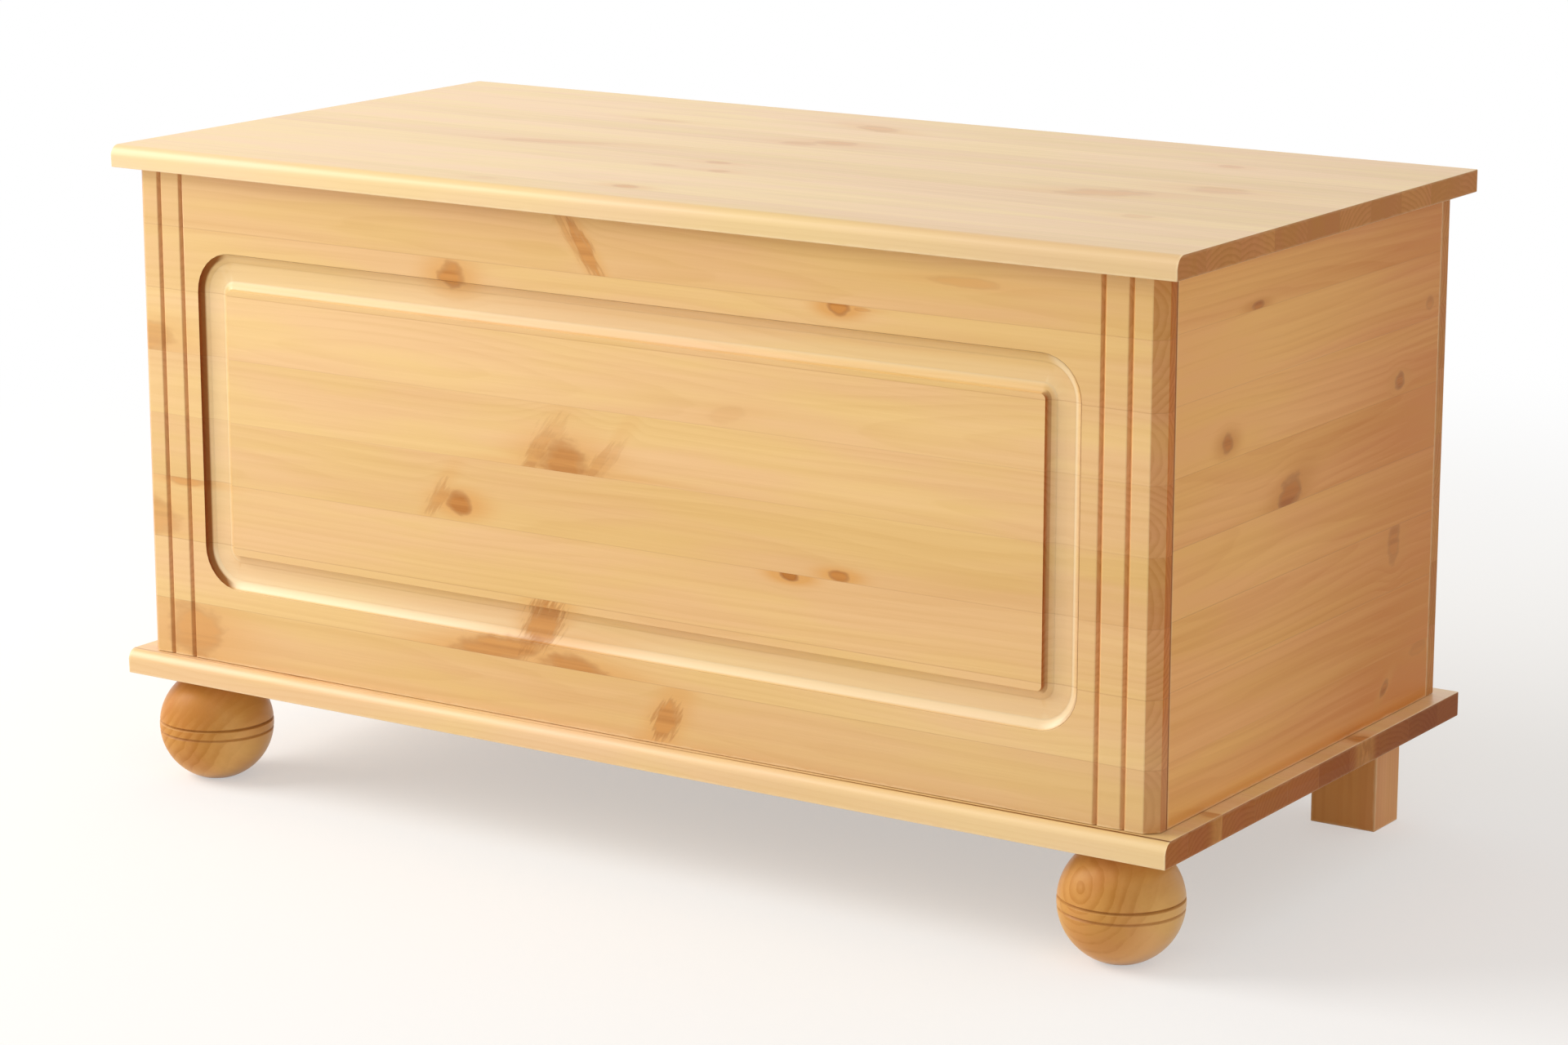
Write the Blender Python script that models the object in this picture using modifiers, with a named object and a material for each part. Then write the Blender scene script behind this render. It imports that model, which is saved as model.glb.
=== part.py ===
# Pine storage chest: a hinged lid on a box of solid boards, on two ball feet and two square rear legs.
# Metres, +Z up. The front faces -Y. The origin is on the floor, in the middle of the chest's outline.

import math

import bmesh
import bpy
from mathutils import Matrix, Vector

# Driving dimensions of the boards
BODY_WIDTH = 0.902
BODY_DEPTH = 0.439
BODY_HEIGHT = 0.384
LID_THICKNESS = 0.017
BASE_THICKNESS = 0.019
FRONT_THICKNESS = 0.017
SIDE_THICKNESS = 0.017
BACK_THICKNESS = 0.012
OVERHANG_FRONT = 0.010
OVERHANG_SIDE = 0.014
OVERHANG_BACK = 0.016
EDGE_ROUND = 0.009
EDGE_STEPS = 8
ARRIS_CHAMFER = 0.009

# The routed moulding and the V grooves on the front board
MOULDING_WIDTH = 0.028
MOULDING_DEPTH = 0.0054
MOULDING_WALL_WIDTH = 0.0012
MOULDING_WALL_DEPTH = 0.0034
MOULDING_QUIRK_FROM_WALL = 0.0056
MOULDING_QUIRK_HALF_WIDTH = 0.0006
MOULDING_QUIRK_DEPTH = 0.0005
MOULDING_FIELD_CORNER = 0.004
MOULDING_CORNER_STEPS = 8
MOULDING_FROM_SIDE = 0.062
MOULDING_FROM_TOP = 0.0595
MOULDING_FROM_BOTTOM = 0.060
V_GROOVE_DEPTH = 0.0022
V_GROOVES_FROM_SIDE = (0.025, 0.0464)

# Feet
BALL_DIAMETER = 0.090
BALL_FLAT_RADIUS = 0.014
BALL_SEAT_RADIUS = 0.018
BALL_FROM_END = 0.055
BALL_FROM_FRONT = 0.040
BALL_LINE_SPACING = 0.0077
BALL_LINE_DEPTH = 0.0018
BALL_FINE_LINE_DEPTH = 0.0010
BALL_LINE_HALF_WIDTH = 0.0013
BALL_ARC_STEPS = 9
LEG_WIDTH = 0.054
LEG_DEPTH = 0.040
LEG_FROM_END = 0.038
LEG_FROM_BACK = 0.0205
LEG_EDGE = 0.002

# Inner woodwork
CLEAT_SIZE = 0.016
RAIL_THICKNESS = 0.020
RAIL_HEIGHT = 0.030
BATTEN_WIDTH = 0.040
BATTEN_HEIGHT = 0.020
BATTEN_FRONT_CLEARANCE = 0.0155
BATTEN_REAR_CLEARANCE = 0.009
STAY_SPACE = 0.009

# Butt hinges
HINGE_FROM_SIDE = 0.171
HINGE_LENGTH = 0.060
LEAF_WIDTH = 0.0265
LEAF_THICKNESS = 0.0015
KNUCKLE_RADIUS = 0.003
PLATE_PAST_PIN = 0.00025
KNUCKLES = 3
PIN_RADIUS = 0.0014
PIN_HEAD_RADIUS = 0.0024
PIN_HEAD_THICKNESS = 0.001
HINGE_SCREW_SPACING = 0.036

# Slotted lid stay
LID_OPEN_ANGLE = 95.0
STAY_RADIUS = 0.150
STAY_PIVOT_BELOW_LID = 0.011
STAY_LEAD_ANGLE = 12.0
STAY_WIDTH = 0.015
STAY_THICKNESS = 0.002
STUD_RADIUS = 0.0025
STUD_HEAD_RADIUS = 0.0055
STUD_HEAD_THICKNESS = 0.002
STUD_HEAD_TOP_RADIUS = 0.0044
STUD_SHANK_RADIUS = 0.002
STUD_IN_SIDE = 0.012
PIVOT_RADIUS = 0.0022
PIVOT_HEAD_RADIUS = 0.0055
PIVOT_HEAD_THICKNESS = 0.0015
PIVOT_HEAD_TOP_RADIUS = 0.0038
PIVOT_IN_BATTEN = 0.020
WASHER_RADIUS = 0.006
STAY_END_STEPS = 8

# Fasteners: length, shank radius, head radius. The tip is short beside both
SCREW_TIP_SLOPE = 2
SCREW_TIP_SHARE = 4
BASE_SCREW = (0.045, 0.0020, 0.0040)
BATTEN_SCREW = (0.030, 0.0020, 0.0040)
LEG_SCREW = (0.050, 0.0022, 0.0044)
FOOT_BOLT = (0.064, 0.0030, 0.0062)
HINGE_SCREW = (0.013, 0.0014, 0.0028)
BASE_SCREWS_FROM_SIDE = 0.151
BATTEN_SCREWS_FROM_END = 0.0526
LEG_SCREW_SPACING = 0.020

# Fits
GAP = 0.0003
RUNNING = 0.0003
PAST = 0.002
TINY = 0.0001

# Heights and reaches that follow from the driving dimensions
BALL_RADIUS = BALL_DIAMETER / 2
BALL_CENTRE = math.sqrt(BALL_RADIUS**2 - BALL_FLAT_RADIUS**2)
FOOT_HEIGHT = BALL_CENTRE + math.sqrt(BALL_RADIUS**2 - BALL_SEAT_RADIUS**2)
WIDTH = BODY_WIDTH + 2 * OVERHANG_SIDE
DEPTH = OVERHANG_FRONT + BODY_DEPTH + OVERHANG_BACK
END = WIDTH / 2
FRONT_EDGE = -DEPTH / 2
BACK_EDGE = DEPTH / 2
BODY_SIDE = BODY_WIDTH / 2
BODY_FRONT = FRONT_EDGE + OVERHANG_FRONT
BODY_BACK = BACK_EDGE - OVERHANG_BACK
INNER_SIDE = BODY_SIDE - SIDE_THICKNESS
INNER_FRONT = BODY_FRONT + FRONT_THICKNESS
INNER_BACK = BODY_BACK - BACK_THICKNESS
BASE_BOTTOM = FOOT_HEIGHT
BASE_TOP = BASE_BOTTOM + BASE_THICKNESS
LID_BOTTOM = BASE_TOP + BODY_HEIGHT
PANEL_BOTTOM = BASE_TOP + GAP
PANEL_TOP = LID_BOTTOM - GAP
RAIL_BOTTOM = PANEL_TOP - RAIL_HEIGHT
RAIL_FRONT = INNER_BACK - GAP - RAIL_THICKNESS
CLEAT_TOP = RAIL_BOTTOM - GAP
BATTEN_SIDE = INNER_SIDE - STAY_SPACE
BATTEN_TOP = LID_BOTTOM - GAP
BATTEN_BOTTOM = BATTEN_TOP - BATTEN_HEIGHT
BATTEN_FRONT = INNER_FRONT + BATTEN_FRONT_CLEARANCE
BATTEN_REAR = RAIL_FRONT - BATTEN_REAR_CLEARANCE
BALL_X = END - BALL_FROM_END
BALL_Y = FRONT_EDGE + BALL_FROM_FRONT
HINGE_Y = BODY_BACK + KNUCKLE_RADIUS + GAP
HINGE_Z = LID_BOTTOM - KNUCKLE_RADIUS - GAP
LID_LEAF_TOP = LID_BOTTOM - GAP - TINY
LID_LEAF_BOTTOM = LID_LEAF_TOP - LEAF_THICKNESS
BODY_LEAF_TOP = LID_LEAF_BOTTOM - RUNNING
BODY_LEAF_BOTTOM = BODY_LEAF_TOP - LEAF_THICKNESS
LEAF_INNER_EDGE = BODY_BACK - LEAF_WIDTH
MORTISE_FLOOR = BODY_LEAF_BOTTOM - GAP
HINGE_SCREW_Y = RAIL_FRONT + RAIL_THICKNESS / 2

# The foot that stands proud of the front edge moves the outline's middle forwards
FOOT_PROUD = max(0.0, BALL_RADIUS - BALL_FROM_FRONT)

TURN_STEPS = 40
SCREW_STEPS = 10
BARREL_STEPS = 16

for old in list(bpy.data.objects):
    bpy.data.objects.remove(old)

chest_parts = bpy.data.collections.new("storage_chest")
bpy.context.scene.collection.children.link(chest_parts)
cutters = bpy.data.collections.new("cutters")
cutters.hide_render = True
bpy.context.scene.collection.children.link(cutters)


# Materials
def finish(name, colour, roughness, metallic=0.0):
    made = bpy.data.materials.new(name)
    made.use_nodes = True
    shader = made.node_tree.nodes["Principled BSDF"]
    shader.inputs["Base Color"].default_value = (*colour, 1.0)
    shader.inputs["Roughness"].default_value = roughness
    shader.inputs["Metallic"].default_value = metallic
    made.diffuse_color = (*colour, 1.0)
    return made


LID_PINE = finish("lid_pine", (0.79, 0.61, 0.38), 0.32)
FRONT_PINE = finish("front_pine", (0.84, 0.52, 0.20), 0.36)
SIDE_PINE = finish("side_pine", (0.72, 0.42, 0.17), 0.38)
BASE_PINE = finish("base_pine", (0.76, 0.48, 0.21), 0.38)
INNER_PINE = finish("inner_pine", (0.74, 0.55, 0.33), 0.60)
TURNED_PINE = finish("turned_pine", (0.56, 0.29, 0.10), 0.34)
LEG_PINE = finish("leg_pine", (0.42, 0.22, 0.09), 0.45)
ZINC = finish("zinc_plate", (0.66, 0.65, 0.62), 0.30, 1.0)


# Holders: the whole chest, and the lid's hinge line
def holder(name, place, parent=None):
    empty = bpy.data.objects.new(name, None)
    chest_parts.objects.link(empty)
    empty.parent = parent
    empty.location = place
    return empty


chest = holder("storage_chest", (0, FOOT_PROUD / 2, 0))
lid_hinge = holder("lid_hinge", (0, HINGE_Y, HINGE_Z), chest)
HOLDER_PLACE = {chest: Vector((0, 0, 0)), lid_hinge: Vector((0, HINGE_Y, HINGE_Z))}


def add(name, shape, place, material=None, on=chest):
    """An object at a place given from the middle of the boards, held by the chest or by its lid."""
    piece = bpy.data.objects.new(name, shape)
    piece.parent = on
    piece.location = Vector(place) - HOLDER_PLACE[on]
    if material is None:
        cutters.objects.link(piece)
        piece.hide_render = True
        piece.display_type = "WIRE"
    else:
        chest_parts.objects.link(piece)
        if not shape.materials:
            shape.materials.append(material)
    return piece


def cut(piece, cutter, operation="DIFFERENCE"):
    boolean = piece.modifiers.new(cutter.name, "BOOLEAN")
    boolean.operation = operation
    boolean.solver = "EXACT"
    boolean.object = cutter


def board(name, x, y, z, material=None, on=chest, edges=None, radius=0.0, segments=1):
    """A board between two limits on each axis. edges picks, by its middle, each edge that is taken off."""
    low = Vector((x[0], y[0], z[0]))
    high = Vector((x[1], y[1], z[1]))
    bm = bmesh.new()
    bmesh.ops.create_cube(bm, size=1.0)
    bmesh.ops.scale(bm, vec=high - low, verts=bm.verts)
    if edges:
        chosen = [edge for edge in bm.edges if edges((edge.verts[0].co + edge.verts[1].co) / 2)]
        bmesh.ops.bevel(bm, geom=chosen, offset=radius, segments=segments, profile=0.5, affect="EDGES")
    shape = bpy.data.meshes.new(name)
    bm.to_mesh(shape)
    bm.free()
    return add(name, shape, (low + high) / 2, material, on)


def turned_shape(name, profile):
    """The half outline of a turned piece, as radius and height, from its top to its foot."""
    shape = bpy.data.meshes.new(name)
    points = [(radius, 0, height) for radius, height in profile]
    shape.from_pydata(points, [(i, i + 1) for i in range(len(points) - 1)], [])
    return shape


def turned(name, shape, place, material=None, on=chest, steps=TURN_STEPS, axis=(0, 0, 1)):
    """Turns a half outline about its own axis, which then points along the given direction."""
    piece = add(name, shape, place, material, on)
    piece.rotation_euler = Vector((0, 0, 1)).rotation_difference(Vector(axis)).to_euler()
    screw = piece.modifiers.new("turn", "SCREW")
    screw.steps = steps
    screw.render_steps = steps
    screw.use_merge_vertices = True
    screw.merge_threshold = TINY / 10
    screw.use_smooth_shade = True
    return piece


def screw_outline(length, shank, head, grow=0.0, past=0.0):
    """A countersunk screw, its head's face up at height 0. Its hole is wider and starts higher."""
    head_depth = head - shank
    tip = min(SCREW_TIP_SLOPE * shank, length / SCREW_TIP_SHARE)
    top = [(0, past), (head + grow, past)] if past else [(0, 0)]
    return top + [
        (head + grow, 0),
        (shank + grow, -head_depth - grow),
        (shank + grow, -length + tip),
        (0, -length - grow),
    ]


def fastener_kind(name, sizes):
    """The screw's own shape, and that of the hole that it sits in."""
    own = turned_shape(name, screw_outline(*sizes))
    hole = turned_shape(name + "_hole", screw_outline(*sizes, grow=GAP, past=PAST))
    return own, hole


def fasten(name, kind, place, axis, pieces, on=chest):
    """Puts a screw in, its head's face at a place and facing along axis, and bores what it holds."""
    own, hole = kind
    turned(name, own, place, ZINC, on, SCREW_STEPS, axis)
    bored = turned(name + "_hole", hole, place, None, on, SCREW_STEPS, axis)
    for piece in pieces:
        cut(piece, bored)


SIDES = (("left", -1), ("right", 1))
UP = (0, 0, 1)
DOWN = (0, 0, -1)


def span(side, near, far):
    """A stretch of X between two distances from the middle, on the left or on the right."""
    return (near, far) if side > 0 else (-far, -near)


# Lid and base: one board each, with a round routed along the front edge's top
def front_top(middle):
    return middle.y < -DEPTH / 2 + TINY and middle.z > TINY


lid_panel = board(
    "lid_panel",
    (-END, END),
    (FRONT_EDGE, BACK_EDGE),
    (LID_BOTTOM, LID_BOTTOM + LID_THICKNESS),
    LID_PINE,
    lid_hinge,
    front_top,
    EDGE_ROUND,
    EDGE_STEPS,
)
base_board = board(
    "base_board",
    (-END, END),
    (FRONT_EDGE, BACK_EDGE),
    (BASE_BOTTOM, BASE_TOP),
    BASE_PINE,
    chest,
    front_top,
    EDGE_ROUND,
    EDGE_STEPS,
)


# Front board: lies over the side boards' ends, with its two outer upright arrises chamfered
def front_arris(middle):
    return middle.y < -TINY and abs(middle.x) > TINY


front_panel = board(
    "front_panel",
    (-BODY_SIDE, BODY_SIDE),
    (BODY_FRONT, INNER_FRONT),
    (PANEL_BOTTOM, PANEL_TOP),
    FRONT_PINE,
    chest,
    front_arris,
    ARRIS_CHAMFER,
)
for side_name, side in SIDES:
    for number, inset in enumerate(V_GROOVES_FROM_SIDE, 1):
        groove = board(
            f"v_groove_{side_name}_{number}",
            (-V_GROOVE_DEPTH / math.sqrt(2), V_GROOVE_DEPTH / math.sqrt(2)),
            (-V_GROOVE_DEPTH / math.sqrt(2), V_GROOVE_DEPTH / math.sqrt(2)),
            (PANEL_BOTTOM - PAST, PANEL_TOP + PAST),
        )
        groove.rotation_euler = (0, 0, math.pi / 4)
        groove.location.x = side * (BODY_SIDE - inset)
        groove.location.y = BODY_FRONT
        cut(front_panel, groove)

FIELD_SIDE = BODY_SIDE - MOULDING_FROM_SIDE - MOULDING_WIDTH
FIELD_TOP = PANEL_TOP - MOULDING_FROM_TOP - MOULDING_WIDTH
FIELD_BOTTOM = PANEL_BOTTOM + MOULDING_FROM_BOTTOM + MOULDING_WIDTH


def moulding_section():
    """The section, as distance out from the field and depth: a steep wall at each side of a dish."""
    quirk = MOULDING_WALL_WIDTH + MOULDING_QUIRK_FROM_WALL

    def dish(out):
        """The dish's depth, an even curve from the foot of a wall to the moulding's middle."""
        along = (out - MOULDING_WALL_WIDTH) / (MOULDING_WIDTH / 2 - MOULDING_WALL_WIDTH)
        return MOULDING_WALL_DEPTH + (MOULDING_DEPTH - MOULDING_WALL_DEPTH) * along * (2 - along)

    half = [
        (0.0, -PAST),
        (0.0, TINY),
        (MOULDING_WALL_WIDTH, MOULDING_WALL_DEPTH),
        (quirk - MOULDING_QUIRK_HALF_WIDTH, dish(quirk - MOULDING_QUIRK_HALF_WIDTH)),
        (quirk, dish(quirk) + MOULDING_QUIRK_DEPTH),
        (quirk + MOULDING_QUIRK_HALF_WIDTH, dish(quirk + MOULDING_QUIRK_HALF_WIDTH)),
    ]
    middle = [(MOULDING_WIDTH / 2, MOULDING_DEPTH)]
    return half + middle + [(MOULDING_WIDTH - out, depth) for out, depth in reversed(half)]


def moulding_cutter():
    """The section carried along the field's four sides and turned about its four eased corners."""
    reach = FIELD_SIDE - MOULDING_FIELD_CORNER
    top = FIELD_TOP - MOULDING_FIELD_CORNER
    bottom = FIELD_BOTTOM + MOULDING_FIELD_CORNER
    corners = [
        Vector((reach, BODY_FRONT, top)),
        Vector((reach, BODY_FRONT, bottom)),
        Vector((-reach, BODY_FRONT, bottom)),
        Vector((-reach, BODY_FRONT, top)),
    ]
    bm = bmesh.new()
    first = corners[-1]
    start = first + Vector((0, 0, MOULDING_FIELD_CORNER))
    ring = [bm.verts.new(start + Vector((0, depth, out))) for out, depth in moulding_section()]
    run = [bm.edges.new((ring[i - 1], ring[i])) for i in range(len(ring))]
    here = first
    for corner in corners:
        run = [
            part
            for part in bmesh.ops.extrude_edge_only(bm, edges=run)["geom"]
            if not isinstance(part, bmesh.types.BMFace)
        ]
        moved = [part for part in run if isinstance(part, bmesh.types.BMVert)]
        bmesh.ops.translate(bm, vec=corner - here, verts=moved)
        here = corner
        turned_run = bmesh.ops.spin(
            bm,
            geom=run,
            cent=corner,
            axis=(0, 1, 0),
            angle=math.pi / 2,
            steps=MOULDING_CORNER_STEPS,
            use_duplicate=False,
        )["geom_last"]
        run = [part for part in turned_run if isinstance(part, bmesh.types.BMEdge)]
    bmesh.ops.remove_doubles(bm, verts=bm.verts, dist=TINY / 10)
    bmesh.ops.recalc_face_normals(bm, faces=bm.faces)
    shape = bpy.data.meshes.new("moulding")
    bm.to_mesh(shape)
    bm.free()
    return add("moulding", shape, (0, 0, 0))


cut(front_panel, moulding_cutter())

# Back board, thinner, and side boards between front and back
back_panel = board(
    "back_panel",
    (-BODY_SIDE, BODY_SIDE),
    (INNER_BACK, BODY_BACK),
    (PANEL_BOTTOM, PANEL_TOP),
    SIDE_PINE,
)
side_panels = {
    side_name: board(
        f"side_panel_{side_name}",
        span(side, INNER_SIDE, BODY_SIDE),
        (INNER_FRONT + GAP, INNER_BACK - GAP),
        (PANEL_BOTTOM, PANEL_TOP),
        SIDE_PINE,
    )
    for side_name, side in SIDES
}

# Corner cleats, glued into the four inner corners, and the hinge rail over the rear two
for side_name, side in SIDES:
    across = span(side, INNER_SIDE - GAP - CLEAT_SIZE, INNER_SIDE - GAP)
    upright = (PANEL_BOTTOM, CLEAT_TOP)
    front_run = (INNER_FRONT + GAP, INNER_FRONT + GAP + CLEAT_SIZE)
    rear_run = (INNER_BACK - GAP - CLEAT_SIZE, INNER_BACK - GAP)
    board(f"corner_cleat_front_{side_name}", across, front_run, upright, INNER_PINE)
    board(f"corner_cleat_rear_{side_name}", across, rear_run, upright, INNER_PINE)
hinge_rail = board(
    "hinge_rail",
    (-INNER_SIDE + GAP, INNER_SIDE - GAP),
    (RAIL_FRONT, INNER_BACK - GAP),
    (RAIL_BOTTOM, PANEL_TOP),
    INNER_PINE,
)

# Lid battens, which keep the lid flat
lid_battens = {
    side_name: board(
        f"lid_batten_{side_name}",
        span(side, BATTEN_SIDE - BATTEN_WIDTH, BATTEN_SIDE),
        (BATTEN_FRONT, BATTEN_REAR),
        (BATTEN_BOTTOM, BATTEN_TOP),
        INNER_PINE,
        lid_hinge,
    )
    for side_name, side in SIDES
}
batten_screw = fastener_kind("batten_screw", BATTEN_SCREW)
batten_screw_rows = (BATTEN_FRONT + BATTEN_SCREWS_FROM_END, BATTEN_REAR - BATTEN_SCREWS_FROM_END)
for side_name, side in SIDES:
    for number, row_y in enumerate(batten_screw_rows, 1):
        place = (side * (BATTEN_SIDE - BATTEN_WIDTH / 2), row_y, BATTEN_BOTTOM)
        wood = (lid_battens[side_name], lid_panel)
        fasten(f"batten_screw_{side_name}_{number}", batten_screw, place, DOWN, wood, lid_hinge)

# Screws up through the base into the edges of the four boards
base_screw = fastener_kind("base_screw", BASE_SCREW)
for row_name, row_y, row_board in (
    ("front", (BODY_FRONT + INNER_FRONT) / 2, front_panel),
    ("back", (BODY_BACK + INNER_BACK) / 2, back_panel),
):
    for number, across in enumerate((-1, 0, 1), 1):
        place = (across * (BODY_SIDE - BASE_SCREWS_FROM_SIDE), row_y, BASE_BOTTOM)
        fasten(f"base_screw_{row_name}_{number}", base_screw, place, DOWN, (base_board, row_board))
for side_name, side in SIDES:
    place = (side * (INNER_SIDE + BODY_SIDE) / 2, 0, BASE_BOTTOM)
    fasten(f"base_screw_{side_name}", base_screw, place, DOWN, (base_board, side_panels[side_name]))


# Ball feet: a turned ball with a flat foot and seat, and a band between two turned lines round its middle
def ball_radius_at(height):
    return math.sqrt(BALL_RADIUS**2 - (height - BALL_CENTRE) ** 2)


def ball_line(height, depth):
    """A V-shaped line turned into the ball, as three points from above it to below it."""
    half = BALL_LINE_HALF_WIDTH
    return [
        (ball_radius_at(height + half), height + half),
        (ball_radius_at(height) - depth, height),
        (ball_radius_at(height - half), height - half),
    ]


def ball_arc(first, last, steps=BALL_ARC_STEPS):
    """Points on the ball's own curve between two heights, evenly turned, without its first point."""
    first_turn = math.asin((first - BALL_CENTRE) / BALL_RADIUS)
    last_turn = math.asin((last - BALL_CENTRE) / BALL_RADIUS)
    turns = [first_turn + (last_turn - first_turn) * step / steps for step in range(1, steps + 1)]
    return [(BALL_RADIUS * math.cos(turn), BALL_CENTRE + BALL_RADIUS * math.sin(turn)) for turn in turns]


seat = FOOT_HEIGHT - GAP
upper_line = BALL_CENTRE + BALL_LINE_SPACING / 2
lower_line = BALL_CENTRE - BALL_LINE_SPACING / 2
ball_outline = turned_shape(
    "ball_foot",
    [(0, seat), (ball_radius_at(seat), seat)]
    + ball_arc(seat, upper_line + BALL_LINE_HALF_WIDTH)[:-1]
    + ball_line(upper_line, BALL_LINE_DEPTH)
    + ball_line(lower_line, BALL_FINE_LINE_DEPTH)
    + ball_arc(lower_line - BALL_LINE_HALF_WIDTH, 0)
    + [(0, 0)],
)
foot_bolt = fastener_kind("foot_bolt", FOOT_BOLT)
for side_name, side in SIDES:
    ball = turned(f"foot_ball_{side_name}", ball_outline, (side * BALL_X, BALL_Y, 0), TURNED_PINE)
    place = (side * BALL_X, BALL_Y, BASE_TOP)
    fasten(f"foot_bolt_{side_name}", foot_bolt, place, UP, (base_board, ball))


# Rear legs: square blocks, eased round their feet, each on two screws
def leg_foot(middle):
    return middle.z < -FOOT_HEIGHT / 2 + TINY


leg_screw = fastener_kind("leg_screw", LEG_SCREW)
leg_middle = END - LEG_FROM_END - LEG_WIDTH / 2
leg_back = BACK_EDGE - LEG_FROM_BACK
for side_name, side in SIDES:
    leg = board(
        f"rear_leg_{side_name}",
        span(side, leg_middle - LEG_WIDTH / 2, leg_middle + LEG_WIDTH / 2),
        (leg_back - LEG_DEPTH, leg_back),
        (0, BASE_BOTTOM - GAP),
        LEG_PINE,
        chest,
        leg_foot,
        LEG_EDGE,
    )
    for number, along in enumerate((-1, 1), 1):
        place = (
            side * (leg_middle + along * LEG_SCREW_SPACING / 2),
            leg_back - LEG_DEPTH / 2,
            BASE_TOP,
        )
        fasten(f"leg_screw_{side_name}_{number}", leg_screw, place, UP, (base_board, leg))


# Butt hinges: the lid's leaf has the middle knuckle, the body's leaf the outer two
def rod(name, radius, near, far, on):
    """A round rod along the hinge line, to join or bore a leaf."""
    length = far - near
    shape = turned_shape(name, [(0, length), (radius, length), (radius, 0), (0, 0)])
    return turned(name, shape, (near, HINGE_Y, HINGE_Z), None, on, BARREL_STEPS, (1, 0, 0))


def leaf(name, middle, low, high, facing, wood, own_knuckles, on):
    """A leaf screwed to its wood, with its knuckles, and notched where the other leaf's knuckles turn."""
    length = HINGE_LENGTH / KNUCKLES
    start = middle - HINGE_LENGTH / 2
    end = start + HINGE_LENGTH
    plate = board(name, (start, end), (LEAF_INNER_EDGE, HINGE_Y + PLATE_PAST_PIN), (low, high), ZINC, on)
    for number, along in enumerate((-1, 1), 1):
        place = (middle + along * HINGE_SCREW_SPACING / 2, HINGE_SCREW_Y, high if facing == UP else low)
        fasten(f"{name}_screw_{number}", hinge_screw, place, facing, (plate, wood), on)
    for number in range(KNUCKLES):
        from_x = start + number * length
        to_x = from_x + length
        if number in own_knuckles:
            near = from_x + RUNNING / 2
            far = to_x - RUNNING / 2
            cut(plate, rod(f"{name}_knuckle_{number}", KNUCKLE_RADIUS, near, far, on), "UNION")
            continue
        # The notch is a little wider than the knuckle that turns in it, and runs out at the leaf's own end
        near = from_x - (RUNNING if number > 0 else PAST)
        far = to_x + (RUNNING if number < KNUCKLES - 1 else PAST)
        deep = (BODY_BACK, HINGE_Y + KNUCKLE_RADIUS)
        cut(plate, board(f"{name}_notch_{number}", (near, far), deep, (low - PAST, high + PAST), None, on))
    cut(plate, rod(f"{name}_bore", PIN_RADIUS + RUNNING, start - PAST, end + PAST, on))


hinge_screw = fastener_kind("hinge_screw", HINGE_SCREW)
for side_name, side in SIDES:
    middle = side * (BODY_SIDE - HINGE_FROM_SIDE)
    body_leaf = (BODY_LEAF_BOTTOM, BODY_LEAF_TOP, UP, hinge_rail, (0, 2), chest)
    lid_leaf = (LID_LEAF_BOTTOM, LID_LEAF_TOP, DOWN, lid_panel, (1,), lid_hinge)
    leaf(f"hinge_body_leaf_{side_name}", middle, *body_leaf)
    leaf(f"hinge_lid_leaf_{side_name}", middle, *lid_leaf)
    mortise = board(
        f"mortise_{side_name}",
        (middle - HINGE_LENGTH / 2 - GAP, middle + HINGE_LENGTH / 2 + GAP),
        (LEAF_INNER_EDGE - GAP, BODY_BACK + PAST),
        (MORTISE_FLOOR, PANEL_TOP + PAST),
    )
    cut(back_panel, mortise)
    cut(hinge_rail, mortise)
    # The pin lies between two upset heads, just clear of the outer knuckles
    reach = HINGE_LENGTH / 2 + RUNNING
    pin_shape = turned_shape(
        f"hinge_pin_{side_name}",
        [
            (0, reach + PIN_HEAD_THICKNESS),
            (PIN_HEAD_RADIUS, reach + PIN_HEAD_THICKNESS),
            (PIN_HEAD_RADIUS, reach),
            (PIN_RADIUS, reach),
            (PIN_RADIUS, -reach),
            (PIN_HEAD_RADIUS, -reach),
            (PIN_HEAD_RADIUS, -reach - PIN_HEAD_THICKNESS),
            (0, -reach - PIN_HEAD_THICKNESS),
        ],
    )
    turned(
        f"hinge_pin_{side_name}", pin_shape, (middle, HINGE_Y, HINGE_Z), ZINC, chest, BARREL_STEPS, (1, 0, 0)
    )

# Slotted lid stay on the right. Its pivot on the lid and its stud on the side board lie at one distance
# from the hinge line, so the arm always turns through half of the lid's angle.
pivot_drop = HINGE_Z - (LID_BOTTOM - STAY_PIVOT_BELOW_LID)
pivot_turn = math.asin(pivot_drop / STAY_RADIUS)
stud_turn = pivot_turn + math.radians(STAY_LEAD_ANGLE)
pivot_y = HINGE_Y - STAY_RADIUS * math.cos(pivot_turn)
pivot_z = HINGE_Z - STAY_RADIUS * math.sin(pivot_turn)
stud_y = HINGE_Y - STAY_RADIUS * math.cos(stud_turn)
stud_z = HINGE_Z - STAY_RADIUS * math.sin(stud_turn)
slot_near = 2 * STAY_RADIUS * math.sin(math.radians(STAY_LEAD_ANGLE) / 2)
slot_far = 2 * STAY_RADIUS * math.sin(math.radians(STAY_LEAD_ANGLE + LID_OPEN_ANGLE) / 2)
arm_middle = INNER_SIDE - STAY_SPACE / 2
arm_inner = arm_middle - STAY_THICKNESS / 2
arm_outer = arm_middle + STAY_THICKNESS / 2


def round_ended(near, far, radius, steps=STAY_END_STEPS):
    """A flat strip's outline with half-round ends about two points on the X axis."""
    turns = [math.pi * (step / steps - 0.5) for step in range(steps + 1)]
    far_end = [(far + radius * math.cos(turn), radius * math.sin(turn), 0) for turn in turns]
    near_end = [(near - radius * math.cos(turn), -radius * math.sin(turn), 0) for turn in turns]
    return far_end + near_end


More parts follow.
